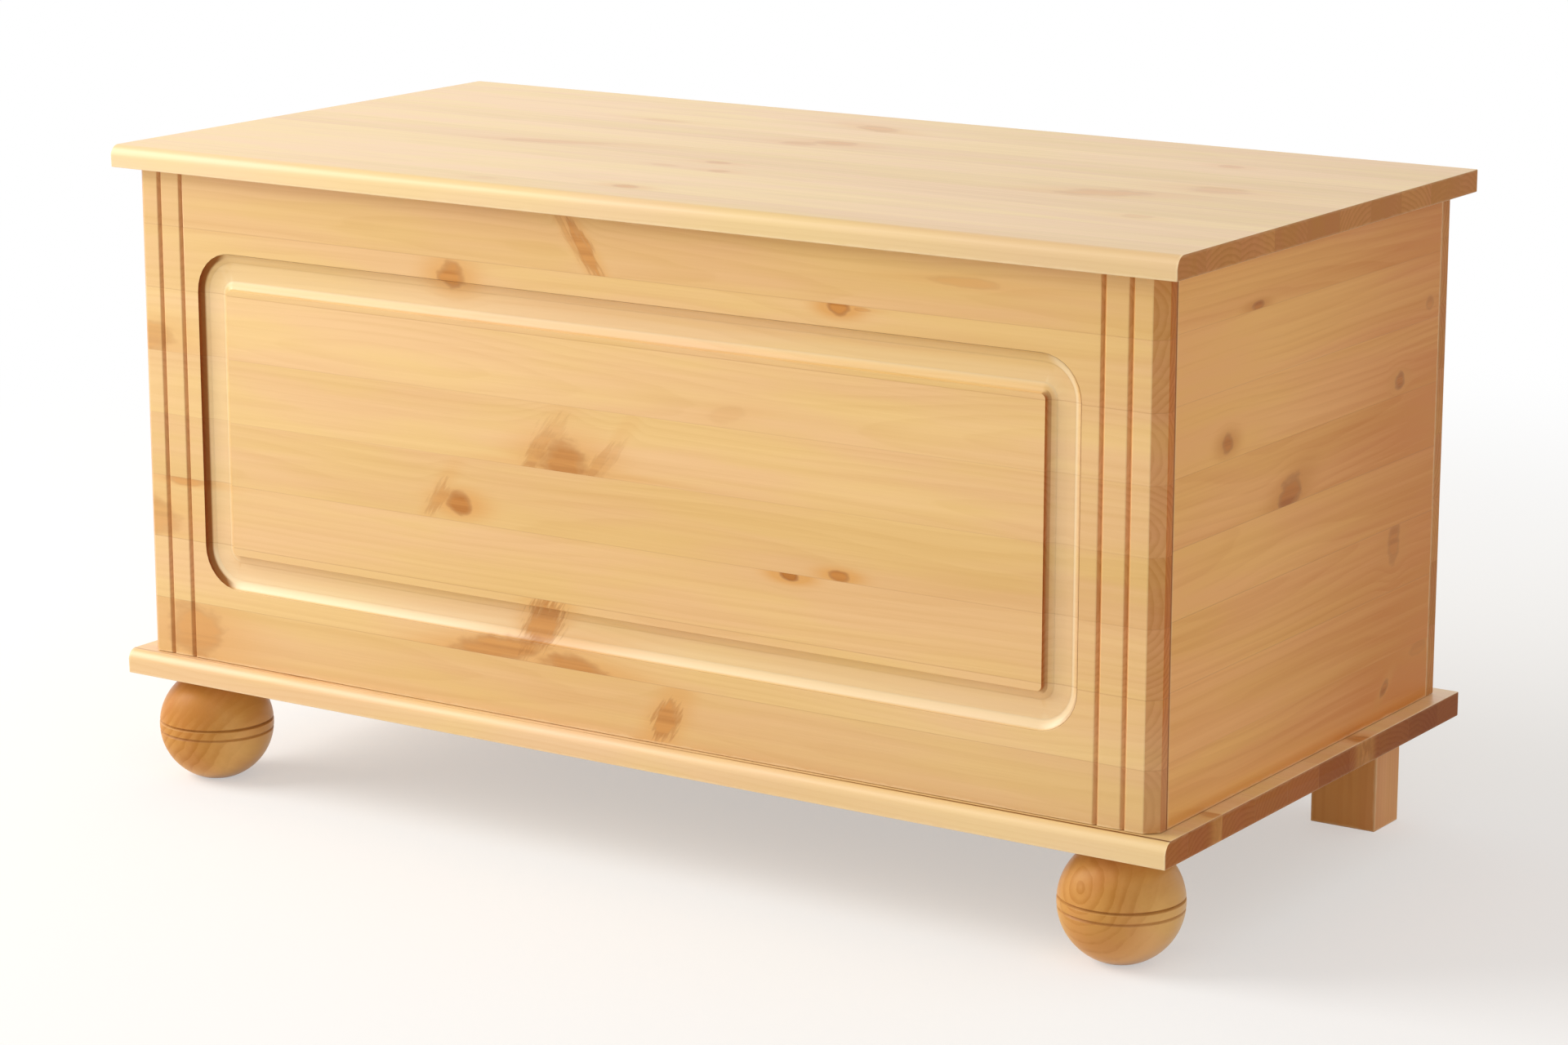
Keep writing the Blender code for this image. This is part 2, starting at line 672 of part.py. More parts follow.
stay_outline = bpy.data.curves.new("stay_arm", "CURVE")
stay_outline.dimensions = "2D"
stay_outline.fill_mode = "BOTH"
stay_outline.extrude = STAY_THICKNESS / 2
slot_radius = STUD_RADIUS + RUNNING
for outline in (
    round_ended(0, slot_far, STAY_WIDTH / 2),
    round_ended(slot_near, slot_far, slot_radius),
    round_ended(0, 0, PIVOT_RADIUS + RUNNING),
):
    spline = stay_outline.splines.new("POLY")
    spline.points.add(len(outline) - 1)
    spline.use_cyclic_u = True
    for point, place in zip(spline.points, outline):
        point.co = (*place, 1)
stay_arm = add("stay_arm", stay_outline, (arm_middle, pivot_y, pivot_z), ZINC, lid_hinge)
along_arm = (Vector((0, stud_y, stud_z)) - Vector((0, pivot_y, pivot_z))).normalized()
across_plate = Vector((1, 0, 0))
across_arm = across_plate.cross(along_arm)
stay_arm.rotation_euler = Matrix((along_arm, across_arm, across_plate)).transposed().to_euler()

# Pivot screw: from the outer side, through arm and washer into the batten
pivot_length = arm_outer + GAP - (BATTEN_SIDE - PIVOT_IN_BATTEN)
pivot_outline = [
    (0, PIVOT_HEAD_THICKNESS),
    (PIVOT_HEAD_TOP_RADIUS, PIVOT_HEAD_THICKNESS),
    (PIVOT_HEAD_RADIUS, 0),
    (PIVOT_RADIUS, 0),
    (PIVOT_RADIUS, -pivot_length + PIVOT_RADIUS),
    (0, -pivot_length),
]
pivot_place = (arm_outer + GAP, pivot_y, pivot_z)
outward = (1, 0, 0)
turned(
    "stay_pivot_screw",
    turned_shape("stay_pivot_screw", pivot_outline),
    pivot_place,
    ZINC,
    lid_hinge,
    SCREW_STEPS,
    outward,
)
pivot_bore = turned(
    "stay_pivot_bore",
    turned_shape(
        "stay_pivot_bore",
        [
            (0, PAST),
            (PIVOT_RADIUS + GAP, PAST),
            (PIVOT_RADIUS + GAP, -pivot_length + PIVOT_RADIUS),
            (0, -pivot_length - GAP),
        ],
    ),
    pivot_place,
    None,
    lid_hinge,
    SCREW_STEPS,
    outward,
)
cut(lid_battens["right"], pivot_bore)
washer_thickness = arm_inner - BATTEN_SIDE - 2 * GAP
washer = turned(
    "stay_washer",
    turned_shape(
        "stay_washer",
        [(0, washer_thickness), (WASHER_RADIUS, washer_thickness), (WASHER_RADIUS, 0), (0, 0)],
    ),
    (BATTEN_SIDE + GAP, pivot_y, pivot_z),
    ZINC,
    lid_hinge,
    BARREL_STEPS,
    outward,
)
cut(washer, pivot_bore)

# Slide stud: screwed into the side board, with a collar behind the arm and a head before it
collar = INNER_SIDE - arm_outer - 2 * GAP
neck = STAY_THICKNESS + 2 * GAP
stud_outline = [
    (0, collar + neck + STUD_HEAD_THICKNESS),
    (STUD_HEAD_TOP_RADIUS, collar + neck + STUD_HEAD_THICKNESS),
    (STUD_HEAD_RADIUS, collar + neck + STUD_HEAD_THICKNESS / 2),
    (STUD_HEAD_RADIUS, collar + neck),
    (STUD_RADIUS, collar + neck),
    (STUD_RADIUS, collar),
    (STUD_HEAD_RADIUS, collar),
    (STUD_HEAD_RADIUS, 0),
    (STUD_SHANK_RADIUS, 0),
    (STUD_SHANK_RADIUS, STUD_SHANK_RADIUS - STUD_IN_SIDE),
    (0, -STUD_IN_SIDE),
]
stud_place = (INNER_SIDE - GAP, stud_y, stud_z)
inward = (-1, 0, 0)
stud_shape = turned_shape("stay_stud", stud_outline)
turned("stay_stud", stud_shape, stud_place, ZINC, chest, BARREL_STEPS, inward)
stud_bore = turned(
    "stay_stud_bore",
    turned_shape(
        "stay_stud_bore",
        [
            (0, PAST),
            (STUD_SHANK_RADIUS + GAP, PAST),
            (STUD_SHANK_RADIUS + GAP, STUD_SHANK_RADIUS - STUD_IN_SIDE),
            (0, -STUD_IN_SIDE - GAP),
        ],
    ),
    stud_place,
    None,
    chest,
    BARREL_STEPS,
    inward,
)
cut(side_panels["right"], stud_bore)
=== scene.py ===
import math
import random

import bmesh
import bpy
from mathutils import Matrix, Vector


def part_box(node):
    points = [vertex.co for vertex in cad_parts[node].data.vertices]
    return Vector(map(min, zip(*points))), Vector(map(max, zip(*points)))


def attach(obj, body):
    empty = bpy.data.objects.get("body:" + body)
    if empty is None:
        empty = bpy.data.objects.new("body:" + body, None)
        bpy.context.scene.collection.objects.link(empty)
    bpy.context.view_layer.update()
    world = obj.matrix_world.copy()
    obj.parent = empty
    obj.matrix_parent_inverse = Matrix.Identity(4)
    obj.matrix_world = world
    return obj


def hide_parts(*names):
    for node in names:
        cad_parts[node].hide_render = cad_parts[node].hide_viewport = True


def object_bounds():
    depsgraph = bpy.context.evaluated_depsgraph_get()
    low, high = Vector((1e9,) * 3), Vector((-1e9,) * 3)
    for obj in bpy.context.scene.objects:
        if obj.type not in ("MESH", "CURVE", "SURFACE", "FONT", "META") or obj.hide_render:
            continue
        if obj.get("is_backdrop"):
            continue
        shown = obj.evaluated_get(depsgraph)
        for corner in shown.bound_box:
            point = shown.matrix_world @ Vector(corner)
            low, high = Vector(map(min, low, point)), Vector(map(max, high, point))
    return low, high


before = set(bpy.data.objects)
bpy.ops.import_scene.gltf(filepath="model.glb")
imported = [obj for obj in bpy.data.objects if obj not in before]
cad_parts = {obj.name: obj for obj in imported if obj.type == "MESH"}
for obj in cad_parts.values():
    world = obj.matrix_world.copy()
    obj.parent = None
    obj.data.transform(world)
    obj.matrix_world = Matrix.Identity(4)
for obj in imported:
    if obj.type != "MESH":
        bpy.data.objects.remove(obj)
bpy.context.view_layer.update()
scene = bpy.context.scene

# Camera
# The photograph was taken with a long lens from the right of the chest's front, a little above the lid.
# The lens has no shift, so the same camera also serves the other views.
SENSOR = 36.0
PHOTO_WIDTH = 1920
FOCAL_PIXELS = 5264
CAMERA_PLACE = (1.7819, -2.6827, 0.9731)
CAMERA_TURN = math.radians(33.531)
CAMERA_DIP = math.radians(13.145)
lens = bpy.data.cameras.new("photo_camera")
lens.sensor_width = SENSOR
lens.lens = SENSOR * FOCAL_PIXELS / PHOTO_WIDTH
camera = bpy.data.objects.new("photo_camera", lens)
camera.location = CAMERA_PLACE
camera.rotation_euler = (math.pi / 2 - CAMERA_DIP, 0, CAMERA_TURN)
scene.collection.objects.link(camera)
scene.camera = camera

# Floor and light
# A pale studio floor that fades into a white backdrop, lit by a large soft lamp from the upper left of the
# front and by an even pale surround. Both are plain white where the camera or a reflection sees them.
scene.view_settings.view_transform = "Standard"
FLOOR_HALF = 30.0
FLOOR_COLOUR = (0.85, 0.85, 0.85, 1)
FLOOR_SEEN_COLOUR = (0.95, 0.95, 0.95, 1)
FLOOR_OWN_WHITE = 0.45
FLOOR_FADE_START = 0.8
FLOOR_FADE_END = 2.0
WHITE = (1, 1, 1, 1)
KEY_AIM = Vector((0, 0, 0.25))
KEY_DIRECTION = Vector((-0.76, -0.42, 0.50)).normalized()
KEY_DISTANCE = 3.8
KEY_SIZE = 2.28
KEY_WATTS = 110.0
KEY_COLOUR = (1.0, 0.985, 0.955)
SURROUND = (0.64, 0.618, 0.588, 1)


class Graph:
    """Places nodes in one material, node group or world, each fed by values or by other nodes' sockets."""

    def __init__(self, tree):
        self.tree = tree

    def node(self, kind, feeds=(), **settings):
        """A node with its settings. feeds is a row of values or sockets, or names the inputs they go to."""
        made = self.tree.nodes.new("ShaderNode" + kind)
        for setting, value in settings.items():
            setattr(made, setting, value)
        pairs = feeds.items() if isinstance(feeds, dict) else enumerate(feeds)
        for name, value in pairs:
            if isinstance(value, bpy.types.NodeSocket):
                self.tree.links.new(value, made.inputs[name])
            else:
                made.inputs[name].default_value = value
        return made

    def maths(self, operation, *feeds, clamp=False):
        return self.node("Math", feeds, operation=operation, use_clamp=clamp).outputs[0]

    def plus(self, first, second):
        return self.maths("ADD", first, second)

    def minus(self, first, second):
        return self.maths("SUBTRACT", first, second)

    def times(self, first, second):
        return self.maths("MULTIPLY", first, second)

    def larger(self, first, second):
        return self.maths("MAXIMUM", first, second)

    def vector(self, operation, *feeds):
        made = self.node("VectorMath", feeds, operation=operation)
        return made.outputs["Value" if operation == "LENGTH" else "Vector"]

    def rise(self, value, low, high):
        """0 below low, 1 above high, and a smooth step between them. It falls where low is the larger."""
        return self.node("MapRange", (value, low, high, 0.0, 1.0), interpolation_type="SMOOTHSTEP").outputs[0]

    def mix(self, share, first, second, blend="MIX"):
        made = self.node("Mix", {0: share, 6: first, 7: second}, data_type="RGBA", blend_type=blend)
        return made.outputs[2]

    def noise(self, place, scale, detail, dimensions="3D"):
        """Noise from 0 to 1. Along one line, the place is a number."""
        name = "W" if dimensions == "1D" else "Vector"
        feeds = {name: place, "Scale": scale, "Detail": detail}
        return self.node("TexNoise", feeds, noise_dimensions=dimensions).outputs[0]

    def group(self, name, **feeds):
        """A shared node group, with its inputs given in lower case."""
        named = {socket.replace("_", " ").capitalize(): value for socket, value in feeds.items()}
        return self.node("Group", named, node_tree=bpy.data.node_groups[name]).outputs


def seen_directly(graph):
    """1 for rays from the camera and for reflections and refractions, 0 for light on its way to a surface."""
    rays = graph.node("LightPath").outputs
    seen = graph.larger(rays["Is Camera Ray"], rays["Is Glossy Ray"])
    return graph.larger(seen, rays["Is Transmission Ray"])


shape = bmesh.new()
bmesh.ops.create_grid(shape, x_segments=1, y_segments=1, size=FLOOR_HALF)
floor_mesh = bpy.data.meshes.new("studio_floor")
shape.to_mesh(floor_mesh)
shape.free()
floor = bpy.data.objects.new("studio_floor", floor_mesh)
scene.collection.objects.link(floor)
floor_finish = bpy.data.materials.new("studio_floor")
floor_finish.use_nodes = True
floor_finish.node_tree.nodes.clear()
graph = Graph(floor_finish.node_tree)
place = graph.node("TexCoord").outputs["Object"]
far = graph.rise(graph.vector("LENGTH", place), FLOOR_FADE_START, FLOOR_FADE_END)
own_white = graph.plus(FLOOR_OWN_WHITE, graph.times(far, 1.0 - FLOOR_OWN_WHITE))
seen = seen_directly(graph)
paper = graph.node("BsdfDiffuse", {"Color": graph.mix(seen, FLOOR_COLOUR, FLOOR_SEEN_COLOUR)}).outputs[0]
white = graph.node("Emission", {"Color": WHITE, "Strength": 1.0}).outputs[0]
both = graph.node("MixShader", (graph.times(own_white, seen), paper, white)).outputs[0]
graph.node("OutputMaterial", (both,))
floor.data.materials.append(floor_finish)
floor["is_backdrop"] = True

key_light = bpy.data.lights.new("key_light", "AREA")
key_light.shape = "SQUARE"
key_light.size = KEY_SIZE
key_light.energy = KEY_WATTS
key_light.color = KEY_COLOUR
key = bpy.data.objects.new("key_light", key_light)
key.location = KEY_AIM + KEY_DIRECTION * KEY_DISTANCE
key.rotation_euler = KEY_DIRECTION.to_track_quat("Z", "Y").to_euler()
scene.collection.objects.link(key)

world = bpy.data.worlds.new("studio")
scene.world = world
world.use_nodes = True
world.node_tree.nodes.clear()
graph = Graph(world.node_tree)
surround = graph.node("Background", (graph.mix(seen_directly(graph), SURROUND, WHITE), 1.0)).outputs[0]
graph.node("OutputWorld", (surround,))


# Base board
# A board glued up from narrow pine staves, with a round routed along the front edge's top. It is screwed up
# into the four walls and carries the feet. The boards, feet and legs have a clear satin lacquer.
def new_group(name, takes, gives):
    """An empty node group whose sockets are named by kind: its graph, its inputs and its output node."""
    tree = bpy.data.node_groups.new(name, "ShaderNodeTree")
    for way, kinds in (("INPUT", takes), ("OUTPUT", gives)):
        for kind, sockets in kinds.items():
            for socket in sockets:
                tree.interface.new_socket(socket, in_out=way, socket_type="NodeSocket" + kind)
    return Graph(tree), tree.nodes.new("NodeGroupInput").outputs, tree.nodes.new("NodeGroupOutput")


def give(graph, output, **results):
    for name, socket in results.items():
        graph.tree.links.new(socket, output.inputs[name.replace("_", " ").capitalize()])


def pine_figure():
    """Growth rings, fibre and stave tones, from a place as along the grain, across the staves and through."""
    graph, given, output = new_group(
        "pine_figure",
        {
            "Vector": ("Place", "Heart"),
            "Float": ("Stave width", "Stave shift", "Seed", "Chance", "Ring spacing", "Push"),
        },
        {"Float": ("Rings", "Fibre", "Streaks", "Drift", "Blush", "Tone", "Seam")},
    )
    parts = graph.node("SeparateXYZ", (given["Place"],)).outputs
    along, across, through = parts[0], parts[1], parts[2]
    width = given["Stave width"]
    count = graph.maths("DIVIDE", graph.plus(across, given["Stave shift"]), width)
    number = graph.maths("FLOOR", count)
    own = graph.times(graph.minus(graph.minus(count, number), 0.5), width)
    pair = graph.node("CombineXYZ", (number, given["Seed"], 0.0)).outputs[0]
    chance = graph.node("TexWhiteNoise", (pair,), noise_dimensions="2D")
    lots = graph.node("SeparateColor", (chance.outputs["Color"],)).outputs
    # Each stave was sawn at its own distance from the heart of its tree, and the heart wanders along it
    line = graph.plus(graph.times(along, 1.3), graph.times(lots[2], 90.0))
    wander = graph.minus(graph.noise(line, 1.0, 2.0, "1D"), 0.5)
    dip = graph.minus(graph.noise(graph.plus(line, 31.0), 1.4, 1.0, "1D"), 0.5)
    off_across = graph.times(graph.minus(lots[1], 0.5), 0.075)
    off_across = graph.plus(off_across, graph.times(wander, 0.035))
    off_depth = graph.plus(0.026, graph.times(lots[2], 0.045))
    off_depth = graph.plus(off_depth, graph.times(dip, 0.024))
    heart = graph.node("SeparateXYZ", (given["Heart"],)).outputs
    heart_across = graph.plus(heart[0], graph.times(off_across, given["Chance"]))
    heart_depth = graph.plus(heart[1], graph.times(off_depth, given["Chance"]))
    side = graph.plus(graph.minus(own, heart_across), given["Push"])
    deep = graph.plus(through, heart_depth)
    radius = graph.vector("LENGTH", graph.node("CombineXYZ", (side, deep, 0.0)).outputs[0])
    uneven = graph.noise(graph.vector("MULTIPLY", given["Place"], (6.0, 60.0, 60.0)), 1.0, 2.0)
    turns = graph.plus(graph.maths("DIVIDE", radius, given["Ring spacing"]), uneven)
    year = graph.maths("FRACT", turns)
    late = graph.times(graph.rise(year, 0.30, 0.90), graph.rise(year, 1.0, 0.92))
    elsewhere = graph.vector("MULTIPLY", chance.outputs["Color"], (40.0, 40.0, 40.0))
    scales = {"fibre": (9, 620, 620), "streaks": (1.6, 150, 90), "drift": (2.6, 26, 26), "blush": (5, 34, 20)}
    drawn = {}
    for kind, scale in scales.items():
        stretched = graph.vector("MULTIPLY", given["Place"], scale)
        drawn[kind] = graph.noise(graph.vector("ADD", stretched, elsewhere), 1.0, 2.0)
    edge = graph.minus(graph.times(width, 0.5), graph.maths("ABSOLUTE", own))
    seam = graph.times(graph.rise(edge, 0.0006, 0.0001), lots[1])
    give(graph, output, Rings=late, Tone=chance.outputs["Value"], Seam=seam, **drawn)


def pine_knot():
    """One knot, cut off at its stave's edges, added to the knots before it."""
    graph, given, output = new_group(
        "pine_knot",
        {
            "Vector": ("Place", "Centre", "Size", "Tilt"),
            "Float": ("Stave width", "Stave shift", "Strength", "Ragged", "Core", "Rim", "Halo", "Push"),
        },
        {"Float": ("Core", "Rim", "Halo", "Push")},
    )
    width = given["Stave width"]
    across = graph.node("SeparateXYZ", (given["Place"],)).outputs[1]
    centre = graph.node("SeparateXYZ", (given["Centre"],)).outputs[1]
    staves = []
    for at in (across, centre):
        count = graph.maths("DIVIDE", graph.plus(at, given["Stave shift"]), width)
        staves.append(graph.maths("FLOOR", count))
    share = graph.times(graph.maths("COMPARE", staves[0], staves[1], 0.5), given["Strength"])
    feeds = (given["Place"], given["Centre"], given["Tilt"], given["Size"])
    own = graph.node("Mapping", feeds, vector_type="TEXTURE").outputs[0]
    plain = graph.vector("LENGTH", own)
    far = graph.plus(plain, given["Ragged"])
    core = graph.rise(far, 1.22, 0.52)
    rim = graph.times(graph.rise(far, 1.34, 0.98), graph.rise(far, 0.56, 0.92))
    drawn_out = graph.vector("LENGTH", graph.vector("MULTIPLY", own, (0.6, 1, 1)))
    halo = graph.maths("POWER", graph.rise(drawn_out, 2.9, 0.5), 1.6)
    bend = graph.maths("EXPONENT", graph.times(graph.times(plain, plain), -0.22))
    bend = graph.times(graph.times(bend, share), -0.85)
    push = graph.times(graph.minus(across, centre), bend)
    marks = {"Core": core, "Rim": rim, "Halo": halo}
    for name, mark in marks.items():
        marks[name] = graph.larger(given[name], graph.times(mark, share))
    give(graph, output, Push=graph.plus(given["Push"], push), **marks)


def board_arris():
    """How near a place is to an arris of a board, which is worn a little paler, from the board's corners."""
    graph, given, output = new_group(
        "board_arris",
        {"Vector": ("Place", "Low", "High")},
        {"Float": ("Arris",)},
    )
    near = graph.vector("SUBTRACT", given["Place"], given["Low"])
    away = graph.vector("SUBTRACT", given["High"], given["Place"])
    sides = graph.node("SeparateXYZ", (graph.vector("MINIMUM", near, away),)).outputs
    least = graph.maths("MINIMUM", sides[0], sides[1])
    most = graph.larger(sides[0], sides[1])
    second = graph.larger(least, graph.maths("MINIMUM", most, sides[2]))
    uneven = graph.noise(given["Place"], 90.0, 2.0)
    reach = graph.times(uneven, 0.0045)
    give(graph, output, Arris=graph.minus(1.0, graph.rise(second, 0.0003, reach)))


def pine_finish():
    """Pine's colour, roughness and lacquer, from its figure, knots, cuts and painted light and shade."""
    graph, given, output = new_group(
        "pine_finish",
        {
            "Color": ("Pale", "Deep", "Cut", "Knot tint"),
            "Float": ("Rings", "Fibre", "Streaks", "Drift", "Blush", "Tone", "Seam")
            + ("Core", "Rim", "Halo", "End grain", "Arris", "Scorch", "Fresh", "Depth", "Lacquer"),
        },
        {"Color": ("Color",), "Float": ("Roughness", "Lacquer")},
    )
    end, core = given["End grain"], given["Core"]
    ring_share = graph.plus(0.13, graph.times(end, 0.42))
    amount = graph.times(given["Rings"], ring_share)
    tone_share = graph.plus(0.46, graph.times(end, 0.60))
    shares = {"Fibre": 0.20, "Streaks": 0.56, "Drift": 0.60, "Tone": tone_share}
    for socket, share in shares.items():
        centred = graph.minus(given[socket], 0.5)
        amount = graph.plus(amount, graph.times(centred, share))
    # Depth is painted shade and light: it makes the tone deeper or paler
    amount = graph.plus(amount, given["Depth"])
    amount = graph.maths("ADD", amount, 0.30, clamp=True)
    colour = graph.mix(amount, given["Pale"], given["Deep"])
    tint = graph.mix(graph.rise(given["Blush"], 0.34, 0.66), (0.995, 1.01, 0.91, 1), (1.0, 0.965, 1.03, 1))
    colour = graph.mix(1.0, colour, tint, "MULTIPLY")
    # End grain drinks the lacquer and turns brown
    colour = graph.mix(end, colour, graph.mix(1.0, colour, given["Cut"], "MULTIPLY"))
    # Painted light: a cream tone laid where the lamp or its sheen would light the wood
    colour = graph.mix(given["Fresh"], colour, (0.95, 0.78, 0.50, 1))
    # The wood round a knot is more orange, and a knot has a red brown heart with a darker rim
    ring = graph.mix(1.0, given["Knot tint"], (0.74, 0.37, 0.095, 1), "MULTIPLY")
    colour = graph.mix(graph.times(given["Halo"], 0.85), colour, ring)
    mottle = graph.rise(given["Streaks"], 0.40, 0.62)
    heart = graph.mix(mottle, (0.64, 0.280, 0.070, 1), (0.49, 0.190, 0.042, 1))
    heart = graph.mix(1.0, heart, given["Knot tint"], "MULTIPLY")
    colour = graph.mix(graph.times(core, 0.92), colour, heart)
    colour = graph.mix(graph.times(given["Rim"], 0.32), colour, (0.36, 0.130, 0.028, 1))
    colour = graph.mix(graph.times(given["Seam"], 0.34), colour, (0.42, 0.19, 0.06, 1))
    worn = graph.minus(0.42, graph.times(end, 0.30))
    worn = graph.times(given["Arris"], worn)
    colour = graph.mix(worn, colour, (0.98, 0.78, 0.48, 1))
    # Scorch, and painted shade on faces turned from the lamp, darken the wood to brown
    colour = graph.mix(given["Scorch"], colour, graph.mix(1.0, colour, (0.34, 0.15, 0.04, 1), "MULTIPLY"))
    rough = graph.plus(0.33, graph.times(given["Fibre"], 0.10))
    rough = graph.plus(rough, graph.times(end, 0.16))
    rough = graph.minus(rough, graph.times(core, 0.08))
    # The lacquer is thinnest on end grain, knots, scorched wood and under painted shade
    dull = graph.larger(graph.times(end, 0.86), graph.times(core, 0.70))
    dull = graph.larger(dull, graph.rise(given["Scorch"], 0.0, 0.7))
    lacquer = graph.times(graph.minus(1.0, dull), given["Lacquer"])
    give(graph, output, Color=colour, Roughness=rough, Lacquer=lacquer)


pine_figure()
pine_knot()
board_arris()
pine_finish()

PINE_PALE = (0.870, 0.570, 0.250, 1)
PINE_DEEP = (0.695, 0.398, 0.126, 1)
BASE_PALE = (0.890, 0.630, 0.330, 1)
BASE_DEEP = (0.740, 0.460, 0.190, 1)
BASE_CUT = (0.51, 0.24, 0.10, 1)
BASE_EASE = 0.0008
BASE_KNOTS = [
    (0.465, 0.075, 0.012, 0.009, 0, 0.9),
    (0.460, -0.150, 0.010, 0.008, 0, 0.6),
    (-0.300, -0.216, 0.015, 0.006, 0, 0.4),
]
STAVE_WIDTH = 0.0494
RING_SPACING = 0.0042
END_GRAIN_CUT = (0.73, 0.49, 0.38, 1)
NO_TINT = (1, 1, 1, 1)
LACQUER = 0.84
LACQUER_ROUGHNESS = 0.36
BARE_WOOD_GLOSS = 0.08
BUMP_STRENGTH = 0.35
BUMP_DISTANCE = 0.0003
BRANCH_TILT = 45
SHARP_ANGLE = 32
JOIN_REACH = 0.00001
EASE_SEGMENTS = 3


def scattered_knots(seed, low, high, count):
    """Knots for a face that the photograph doesn't show."""
    draw = random.Random(seed)
    knots = []
    for _ in range(count):
        half = draw.uniform(0.005, 0.012)
        knots.append(
            (
                draw.uniform(low[0], high[0]),
                draw.uniform(low[1], high[1]),
                half * draw.uniform(1.0, 1.9),
                half,
                draw.uniform(-25, 25),
                draw.choice((0.9, 0.8, 0.4)),
            )
        )
    return knots


def pine(
    name,
    node,
    grain,
    knots=(),
    stave=(STAVE_WIDTH, 0.0),
    pale=PINE_PALE,
    deep=PINE_DEEP,
    seed=0.0,
    marks_and_painted_light=None,
    heart=None,
    ring_spacing=RING_SPACING,
    cut=END_GRAIN_CUT,
    knot_tint=NO_TINT,
    lacquer=LACQUER,
):
    """Pine for one board, and the lacquer on it.

    grain names the board's axes: along the grain, across the staves and through. A knot is a row of its
    place along and across, its half length, its half width, its tilt in degrees and its strength.
    """
    axes = ["XYZ".index(letter) for letter in grain]
    low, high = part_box(node)
    low = Vector([low[axis] for axis in axes])
    high = Vector([high[axis] for axis in axes])
    made = bpy.data.materials.new(name)
    made.use_nodes = True
    shader = made.node_tree.nodes["Principled BSDF"]
    graph = Graph(made.node_tree)
    coordinates = graph.node("TexCoord").outputs
    parts = graph.node("SeparateXYZ", (coordinates["Object"],)).outputs
    place = graph.node("CombineXYZ", [parts[axis] for axis in axes]).outputs[0]
    # End grain shows where a face is turned to the end of the grain
    end = graph.node("SeparateXYZ", (coordinates["Normal"],)).outputs[axes[0]]
    end = graph.rise(graph.maths("ABSOLUTE", end), 0.42, 0.94)
    width, shift = stave
    # A knot's edge is ragged. Where a branch was cut along its length, it is drawn out into fibres
    ragged = {}
    for tilt in {knot[4] if abs(knot[4]) > BRANCH_TILT else 0 for knot in knots}:
        stretch = (60.0, 420.0, 60.0) if tilt else (60.0, 120.0, 60.0)
        turned = graph.node("Mapping", (place, (0, 0, 0), (0, 0, math.radians(-tilt)), (1, 1, 1))).outputs[0]
        uneven = graph.noise(graph.vector("MULTIPLY", turned, stretch), 1.0, 2.0)
        ragged[tilt] = graph.times(graph.minus(uneven, 0.5), 2.2 if tilt else 1.1)
    marks = {"core": 0.0, "rim": 0.0, "halo": 0.0, "push": 0.0}
    for along, across, half_length, half_width, tilt, strength in knots:
        passed = graph.group(
            "pine_knot",
            place=place,
            stave_width=width,
            stave_shift=shift,
            centre=(along, across, 0),
            size=(half_length, half_width, 10),
            tilt=(0, 0, math.radians(tilt)),
            strength=strength,
            ragged=ragged[tilt if abs(tilt) > BRANCH_TILT else 0],
            **marks,
        )
        marks = {mark: passed[mark.capitalize()] for mark in marks}
    # The figure is drawn about the middle of the board's thickness
    middle = Vector((0, 0, (low.z + high.z) / 2))
    figure = graph.group(
        "pine_figure",
        place=graph.vector("SUBTRACT", place, middle),
        stave_width=width,
        stave_shift=shift,
        seed=seed,
        heart=heart or (0, 0, 0),
        chance=0.0 if heart else 1.0,
        ring_spacing=ring_spacing,
        push=marks.pop("push"),
    )
    arris = graph.group("board_arris", place=place, low=low, high=high)["Arris"]
    if marks_and_painted_light:
        marks.update(marks_and_painted_light(graph, coordinates["Object"], coordinates["Normal"]))
    finish = graph.group(
        "pine_finish",
        pale=pale,
        deep=deep,
        cut=cut,
        knot_tint=knot_tint,
        end_grain=end,
        arris=arris,
        lacquer=lacquer,
        **{socket.name.lower(): socket for socket in figure},
        **marks,
    )
    made.node_tree.links.new(finish["Color"], shader.inputs["Base Color"])
    made.node_tree.links.new(finish["Roughness"], shader.inputs["Roughness"])
    made.node_tree.links.new(finish["Lacquer"], shader.inputs["Coat Weight"])
    shader.inputs["Coat Roughness"].default_value = LACQUER_ROUGHNESS
    shader.inputs["Specular IOR Level"].default_value = BARE_WOOD_GLOSS
    relief = graph.minus(figure["Fibre"], figure["Seam"])
    bump = graph.node("Bump", {"Strength": BUMP_STRENGTH, "Distance": BUMP_DISTANCE, "Height": relief})
    made.node_tree.links.new(bump.outputs[0], shader.inputs["Normal"])
    return made


def finished(name, shape, material, node, body):
    """Makes a piece of a bmesh, with smooth faces between its arrises, in place of a CAD node."""
    mesh = bpy.data.meshes.new(name)
    shape.to_mesh(mesh)
    shape.free()
    mesh.materials.clear()
    mesh.materials.append(material)
    mesh.shade_smooth()
    mesh.set_sharp_from_angle(angle=math.radians(SHARP_ANGLE))
    piece = bpy.data.objects.new(name, mesh)
    scene.collection.objects.link(piece)
    flats = piece.modifiers.new("flats", "WEIGHTED_NORMAL")
    flats.keep_sharp = True
    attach(piece, body)
    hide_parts(node)
    return piece


def joined(node):
    """A CAD piece's own shape, with its triangles joined up into flat faces."""
    shape = bmesh.new()
    shape.from_mesh(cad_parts[node].data)
    bmesh.ops.remove_doubles(shape, verts=shape.verts, dist=JOIN_REACH)
    bmesh.ops.dissolve_limit(shape, angle_limit=math.radians(1), verts=shape.verts, edges=shape.edges)
    return shape


